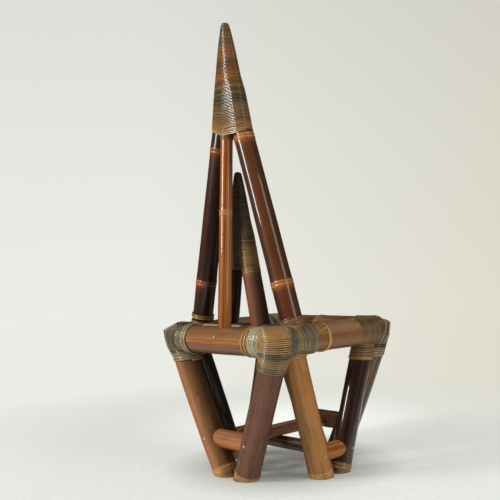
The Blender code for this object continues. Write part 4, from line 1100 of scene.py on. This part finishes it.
for y_name, y_way in BACK_FRONT:
    for x_name, x_way in LEFT_RIGHT:
        corner = f"{y_name}_{x_name}"
        seed = 100 + 10 * (y_way > 0) + 20 * (x_way > 0)
        leg = legs[f"{y_name}_leg_{x_name}"]
        side_leg = legs[f"{x_name}_leg_{y_name}"]
        shape, low = CORNERS[corner]

        # the head of the leg, wound from below the rails; one is wound all the way up, the others are ribbed
        head = Head(leg, x_way, y_way, *shape)
        points, faces = head.core()
        add_piece(f"{corner}_head_packing", points, faces, PACKING)
        wound = corner == "back_right"
        turns_end = head.length - WRAP_END if wound else head.at_height(FOOT_TURNS_TOP)
        turns = turns_end / WRAP["pitch"]
        tones = (turns, BALL_TONES if wound else FOOT_TONES)
        shade = (leg.end, *BALL_SHADE) if wound else None
        parts = [coil(head, 0.0, turns_end, seed, **HEAD_STRANDS)]
        if wound:
            parts += head.cap(turns)
        look = rattan(f"{corner}_rattan", BROWN_STOPS, seed=seed, turns=tones, shade=shade)
        add_strands(f"{corner}_head_strands", parts, look, [f"{corner}_leg_lashing"])
        if not wound:
            ribs = head.ribs(head.at_height(RIBS_FROM), seed + 5)
            add_strands(f"{corner}_head_ribs", ribs + head.cap(), GREY)

        # the ends of both rails, wound up to the head
        turns = rail_end(rails[y_name], x_way, BACK_WRAP_FROM, seed + 1)
        side_turns = rail_end(rails[x_name], y_way, SIDE_WRAP_FROM[y_way], seed + 2,
                              tilt=SIDE_WRAP_TILT, extra=SIDE_WRAP_EXTRA[y_way])
        add_strands(f"{corner}_rail_strands", [turns], PALE_GREY if wound else GREY,
                    [f"{corner}_corner_wrap"])
        add_strands(f"{corner}_side_rail_strands", [side_turns], SIDE_TONES.get(corner, GREY))

        # level turns under the side rail that end in a gold ring
        low, high = side_leg.at_height(low), side_leg.at_height(COLLAR_HIGH)
        collar = coil(side_leg, low + COLLAR_START, high, seed + 3, level=COLLAR_LEVEL, **WRAP)
        gold = coil(side_leg, low, low + COLLAR_RING_LENGTH, seed + 4, level=COLLAR_LEVEL, **COLLAR_RING)
        add_strands(f"{corner}_collar_strands", [collar], BROWN)
        add_strands(f"{corner}_collar_ring", [gold], OLIVE_GOLD)

# Ties; places are distances from the middle of a rail, or heights on a pole

BACK_TIE_LEFT = (0.140, 0.163)
BACK_TIE_LOOK = {"pitch": 0.0054, "extra": 0.0022, "width": 0.0056, "tilt": 0.002}
RING_LOOK = {"pitch": 0.0040, "width": 0.0042, "thickness": 0.0026}
RING_OVERLAP = 1.02
SIDE_TIE_AT = 0.038
# strands laid over a side tie: place and angle of both ends, and the width
SIDE_TIE_STRANDS = (((0.044, 0.75), (0.086, 0.45), 0.0044), ((0.044, 0.95), (0.084, 1.25), 0.0044),
                    ((0.062, 0.62), (0.066, 1.10), 0.0036))
LEFT_POLE_TIES = (0.444, 0.463)
LEFT_POLE_LOOK = {"pitch": 0.0044, "width": 0.0044, "thickness": 0.0040}
RIGHT_POLE_TIE = (0.436, 0.466)
LAID_THICKNESS = 0.0022
LAID_STEPS = 24


def across(form, first, last, width=0.0030, extra=0.0008):
    """A straight strand laid over a form from one distance and angle to another."""
    distance, angle = np.linspace(first, last, LAID_STEPS).T
    path, normals = form.surface(distance, angle, extra)
    return strand(path, normals, width, LAID_THICKNESS)


def ring(form, at, seed, turns=1, **looks):
    """A closed ring of turns laid side by side."""
    return coil(form, at, at + turns * RING_LOOK["pitch"] * RING_OVERLAP, seed, **RING_LOOK, **looks)


rail, middle = rails["back"], rails["back"].length / 2
low, high = (middle + place for place in BACK_TIE_LEFT)
add_strands("back_rail_tie_left_strands", [coil(rail, low, high, 141, **BACK_TIE_LOOK)],
            TAN, ["back_rail_tie_left"])
add_strands("back_rail_tie_right_strands",
            [ring(rail, middle - 0.120, 142, tilt=0.002), ring(rail, middle - 0.134, 143, tilt=-0.001),
             ring(rail, middle - 0.190, 145, extra=0.0030),
             across(rail, (middle - 0.119, 1.0), (middle - 0.146, 1.7))],
            GOLD, ["back_rail_tie_right"])
for name, seed in (("left", 144), ("right", 146)):
    rail, middle = rails[name], rails[name].length / 2
    parts = [ring(rail, middle + SIDE_TIE_AT, seed, 3, tilt=0.001)]
    for (start, start_angle), (end, end_angle), width in SIDE_TIE_STRANDS:
        parts.append(across(rail, (middle + start, start_angle), (middle + end, end_angle), width, 0.0014))
    add_strands(f"{name}_rail_tie_strands", parts, GOLD, [f"{name}_rail_tie"])
low, high = (left_main.at_height(height) for height in LEFT_POLE_TIES)
add_strands("left_pole_tie_strands",
            [coil(left_main, low, low + 0.013, 148, **LEFT_POLE_LOOK),
             coil(left_main, high, high + 0.014, 149, extra=0.0006, **LEFT_POLE_LOOK)],
            OLIVE_GOLD, ["left_pole_tie"])
low, high = (right_main.at_height(height) for height in RIGHT_POLE_TIE)
add_strands("right_pole_tie_strands",
            [coil(right_main, low, high, 150, 0.0052, width=0.0054, tilt=0.003),
             across(right_main, (low + 0.006, -0.9), (high - 0.004, 0.5), 0.0040, 0.0030),
             across(right_main, (high - 0.008, -0.6), (low + 0.012, 0.9), 0.0040, 0.0032)],
            BROWN, ["right_pole_tie"])

# Pegs

PEG_SIDES = 20
PEG_FOOT = 0.0040
PEG_WANDER = 0.05
PEG_CREASE = math.radians(40)
# of a peg head: how far each ring stands past the solid's outer end, and its radius
PEG_PROFILE = ((-0.0012, 0.0043), (0.0006, 0.0040), (0.0012, 0.0030), (0.0014, 0.0012))


def add_peg(node):
    """A peg head: a chamfered, slightly domed disc on the outside of the stem."""
    low, high = (np.array(corner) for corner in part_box(node))
    centre = (low + high) / 2
    out = np.zeros(3)
    axis = 0 if abs(centre[0]) > abs(centre[1]) else 1
    out[axis] = math.copysign(1, centre[axis])
    reach = (high - low)[axis] / 2
    angles = around(PEG_SIDES)
    loop = np.cos(angles)[:, None] * np.cross(out, UP) + np.sin(angles)[:, None] * UP
    loop = loop * (1 + PEG_WANDER * np.cos(3 * angles + centre[0] * 90))[:, None]
    rows = [(-reach, PEG_FOOT)] + [(reach + past, radius) for past, radius in PEG_PROFILE]
    points, faces = skin(np.array([centre + out * depth + loop * radius for depth, radius in rows]))
    add_piece(f"{node}_head", points, faces, PEG, [node], sharp=PEG_CREASE)


for y_name, _ in BACK_FRONT:
    for x_name, _ in LEFT_RIGHT:
        add_peg(f"{y_name}_stretcher_peg_{x_name}")
        add_peg(f"{x_name}_stretcher_peg_{y_name}")
add_peg("centre_pole_peg")

# Seat deck

BEARER_NODES = (0.09, 0.22)
SLAT_COUNT = 7
SLAT_ROWS = 36
SLAT_NODE_ROWS = np.arange(-0.012, 0.0121, 0.002)
SLAT_NODE_WIDTH = 0.004
SLAT_NODE_RISE = 0.0009
SLAT_NODE_SPREAD = 0.008
SLAT_END = 0.004
SLAT_END_DROP = 0.35
SLAT_STEPS = 6
SLAT_CROWN = 0.45
SLAT_EDGE = 0.02
SLAT_FOOT = 0.97
SLAT_CREASE = math.radians(45)
NAIL_SIDES = 14
# radius and height of each ring of a nail head
NAIL_PROFILE = ((0.0026, -0.0012), (0.0026, 0.0001), (0.0021, 0.0006), (0.0008, 0.0008))

for name, seed in (("left", 81), ("right", 82)):
    low, high = (np.array(corner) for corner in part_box(f"{name}_seat_bearer"))
    start, end = (low + high) / 2, (low + high) / 2
    start[1], end[1] = low[1], high[1]
    bearer = Culm(start, end, BEARER_RADIUS, nodes=BEARER_NODES, seed=seed)
    add_culm(f"{name}_seat_bearer", bearer, DECK)


def slat_section(half):
    """Points round a slat: a crowned top with rounded edges, and a flat underside."""
    share = np.arange(2 * SLAT_STEPS + 1) / SLAT_STEPS - 1
    wide = share * half[1] * (1 - SLAT_EDGE * np.abs(share) ** 8)
    tall = half[2] * (1 - SLAT_CROWN * np.abs(share) ** 2.4)
    foot = SLAT_FOOT * half[1]
    return np.append(wide, (foot, -foot)), np.append(tall, (-half[2], -half[2]))


def add_slat(index):
    """A split slat with two nodes, nailed to both bearers."""
    node = f"seat_slat_{index}"
    low, high = (np.array(corner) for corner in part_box(node))
    middle, half = (low + high) / 2, (high - low) / 2
    luck = np.random.default_rng(90 + index)
    marks = luck.uniform(-0.11, -0.03), luck.uniform(0.04, 0.12)
    wide, tall = slat_section(half)
    top = tall > -0.9 * half[2]
    stations = np.linspace(-half[0], half[0], SLAT_ROWS)
    stations = np.sort(np.concatenate((stations, *(mark + SLAT_NODE_ROWS for mark in marks))))
    rings, glow = [], []
    for station in stations:
        swell = sum(bell(station - mark, SLAT_NODE_WIDTH) for mark in marks)
        end = 1 - SLAT_END_DROP * max(0, (abs(station) - half[0] + SLAT_END) / SLAT_END) ** 2
        rise = np.where(top, tall * end - SLAT_NODE_RISE + SLAT_NODE_RISE * swell, tall)
        out = wide * (1 + SLAT_NODE_SPREAD * swell)
        rings.append(np.column_stack((np.full(len(wide), station), out, rise)))
        glow.append(np.full(len(wide), min(1, swell)))
    points, faces = skin(np.array(rings))
    glow = np.concatenate(glow)
    values = {"place": points[:, [1, 2, 0]] + index * 0.1, "glow": glow * 0.6, "ridge": glow * 0.5,
              "bark": np.ones(len(points)), "floor": np.ones(len(points))}
    add_piece(f"{node}_split", points + middle, faces, DECK, [node], values, SLAT_CREASE)
    angles = around(NAIL_SIDES)
    loop = np.column_stack((np.cos(angles), np.sin(angles), np.zeros(NAIL_SIDES)))
    heads = []
    for x_way in (-1, 1):
        spot = (x_way * BEARER_X + luck.uniform(-0.002, 0.002), luck.uniform(-0.003, 0.003), half[2])
        rows = [middle + spot + loop * radius + height * UP for radius, height in NAIL_PROFILE]
        points, faces = skin(np.array(rows))
        heads.append((points, faces, np.zeros((len(points), 3))))
    points, faces, _ = join(heads)
    add_piece(f"{node}_nails", points, faces, NAIL)


for index in range(1, SLAT_COUNT + 1):
    add_slat(index)

# Camera, lights and floor

FLOOR_SIDES = 96
FLOOR_RINGS = (0.3, 0.6, 0.9, 1.2, 1.6, 2.0, 2.6)
FLOOR_STOPS = ((0.3, 0xB2B4AF), (0.7, 0xB8BAB5))
FLOOR_GLOW = (0.22, 0.92)
FLOOR_FADE = (0.75, 1.9)
BACKDROP_STOPS = ((0.0, 0xE0E1DA), (0.14, 0xEAEBE4), (0.33, 0xECEDE6), (0.60, 0xE5E7E1), (1.0, 0xD7D9D4))
BACKDROP_WARMTH = (0.88, 0.84, 0.77, 1.0)
WORLD_COLOUR = srgb(0xFAFAF6)
WORLD_FILL = 0.42
WORLD_GLOSS = 0.04


def add_camera():
    place = FACING * CAMERA_DISTANCE + UP * CAMERA_HEIGHT
    ahead = math.cos(CAMERA_YAW) * -FACING + math.sin(CAMERA_YAW) * PHOTO_RIGHT
    right = math.cos(CAMERA_YAW) * PHOTO_RIGHT + math.sin(CAMERA_YAW) * FACING
    forward = math.cos(CAMERA_PITCH) * ahead - math.sin(CAMERA_PITCH) * UP
    up = math.sin(CAMERA_PITCH) * ahead + math.cos(CAMERA_PITCH) * UP
    right, up = (math.cos(CAMERA_ROLL) * right + math.sin(CAMERA_ROLL) * up,
                 math.cos(CAMERA_ROLL) * up - math.sin(CAMERA_ROLL) * right)
    data = bpy.data.cameras.new("camera")
    data.sensor_width = SENSOR_WIDTH
    data.lens = FOCAL_PIXELS / FRAME_PIXELS * SENSOR_WIDTH
    camera = bpy.data.objects.new("camera", data)
    scene.collection.objects.link(camera)
    turned = Matrix([[*row] for row in np.column_stack((right, up, -forward))])
    camera.matrix_world = Matrix.Translation(place) @ turned.to_4x4()
    scene.camera = camera


def add_softbox(name, turn, distance, height, width, length, power, aim):
    """An area light, turned about the chair from the camera's side; positive turns go to the right."""
    place = distance * (math.cos(turn) * FACING + math.sin(turn) * PHOTO_RIGHT) + height * UP
    data = bpy.data.lights.new(name, "AREA")
    data.shape = "RECTANGLE"
    data.size, data.size_y = width, length
    data.energy = power
    light = bpy.data.objects.new(name, data)
    scene.collection.objects.link(light)
    way = Vector((0, 0, aim)) - Vector(place)
    light.matrix_world = Matrix.Translation(place) @ way.to_track_quat("-Z", "Y").to_matrix().to_4x4()


def add_floor():
    """A round floor that fades into the backdrop at its rim."""
    points, faces = [(0, 0, 0)], []
    for radius in FLOOR_RINGS:
        points += [(radius * math.cos(angle), radius * math.sin(angle), 0.0) for angle in around(FLOOR_SIDES)]
    for side in range(FLOOR_SIDES):
        after = (side + 1) % FLOOR_SIDES
        faces.append((0, 1 + side, 1 + after))
        for row in range(len(FLOOR_RINGS) - 1):
            low, high = 1 + row * FLOOR_SIDES, 1 + (row + 1) * FLOOR_SIDES
            faces.append((low + side, high + side, high + after, low + after))
    mesh = bpy.data.meshes.new("floor")
    mesh.from_pydata(points, [], faces)
    n = Nodes(bpy.data.materials.new("floor_paper"))
    place = n.place()
    paper = n.noise(place, (60, 60, 60), 3.0, 0.5)
    colour = n.ramp(paper, FLOOR_STOPS)
    n.set("Specular IOR Level", 0.1)
    n.set("Emission Color", colour)
    # painted light and shade: the floor glows dimly near the feet, more away from them, most behind the
    # chair, and less to the left
    rim = n.measure("LENGTH", place)
    behind = n.measure("DISTANCE", place, -0.75 * FACING)
    right = n.measure("DOT_PRODUCT", place, PHOTO_RIGHT)
    glow = n.plus(n.spread(rim, 0.15, 0.38, *FLOOR_GLOW), n.spread(behind, 0.05, 0.65, 0.50, 0.0))
    n.set("Emission Strength", n.plus(glow, n.spread(right, -0.7, 0.3, -0.20, 0.05)))
    n.mix_shaders(n.spread(rim, *FLOOR_FADE), n.shader, n.add("BsdfTransparent"))
    mesh.materials.append(n.finish(colour, n.spread(paper, 0.3, 0.7, 0.7, 0.9)))
    floor = bpy.data.objects.new("floor", mesh)
    scene.collection.objects.link(floor)
    floor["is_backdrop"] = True


def add_backdrop():
    """A pale graded backdrop for the camera, and a plain fill for the rest that glossy faces see dimmed."""
    scene.world = bpy.data.worlds.new("backdrop")
    n = Nodes(scene.world, "Background", "World Output")
    way = n.add("TexCoord").outputs["Generated"]
    graded = n.ramp(n.spread(n.split(way)["Z"], -0.30, 0.45), BACKDROP_STOPS)
    # warmer and a little darker to the right
    right = n.spread(n.measure("DOT_PRODUCT", way, PHOTO_RIGHT), -0.15, 0.30)
    n.set("Color", n.mix(right, graded, BACKDROP_WARMTH, "MULTIPLY"))
    ray = n.add("LightPath").outputs
    dim = n.spread(ray["Is Glossy Ray"], 0.0, 1.0, WORLD_FILL, WORLD_GLOSS)
    fill = n.add("Background", {"Color": WORLD_COLOUR, "Strength": dim})
    n.mix_shaders(n.maths("MAXIMUM", ray["Is Camera Ray"], ray["Is Transmission Ray"]), fill, n.shader)


add_camera()
add_softbox("left_softbox", turn=math.radians(-68), distance=2.6, height=1.85, width=0.5, length=1.7,
            power=66, aim=1.0)
add_softbox("right_softbox", turn=math.radians(44), distance=2.8, height=1.45, width=0.9, length=1.9,
            power=20, aim=0.6)
add_floor()
add_backdrop()

low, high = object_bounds()
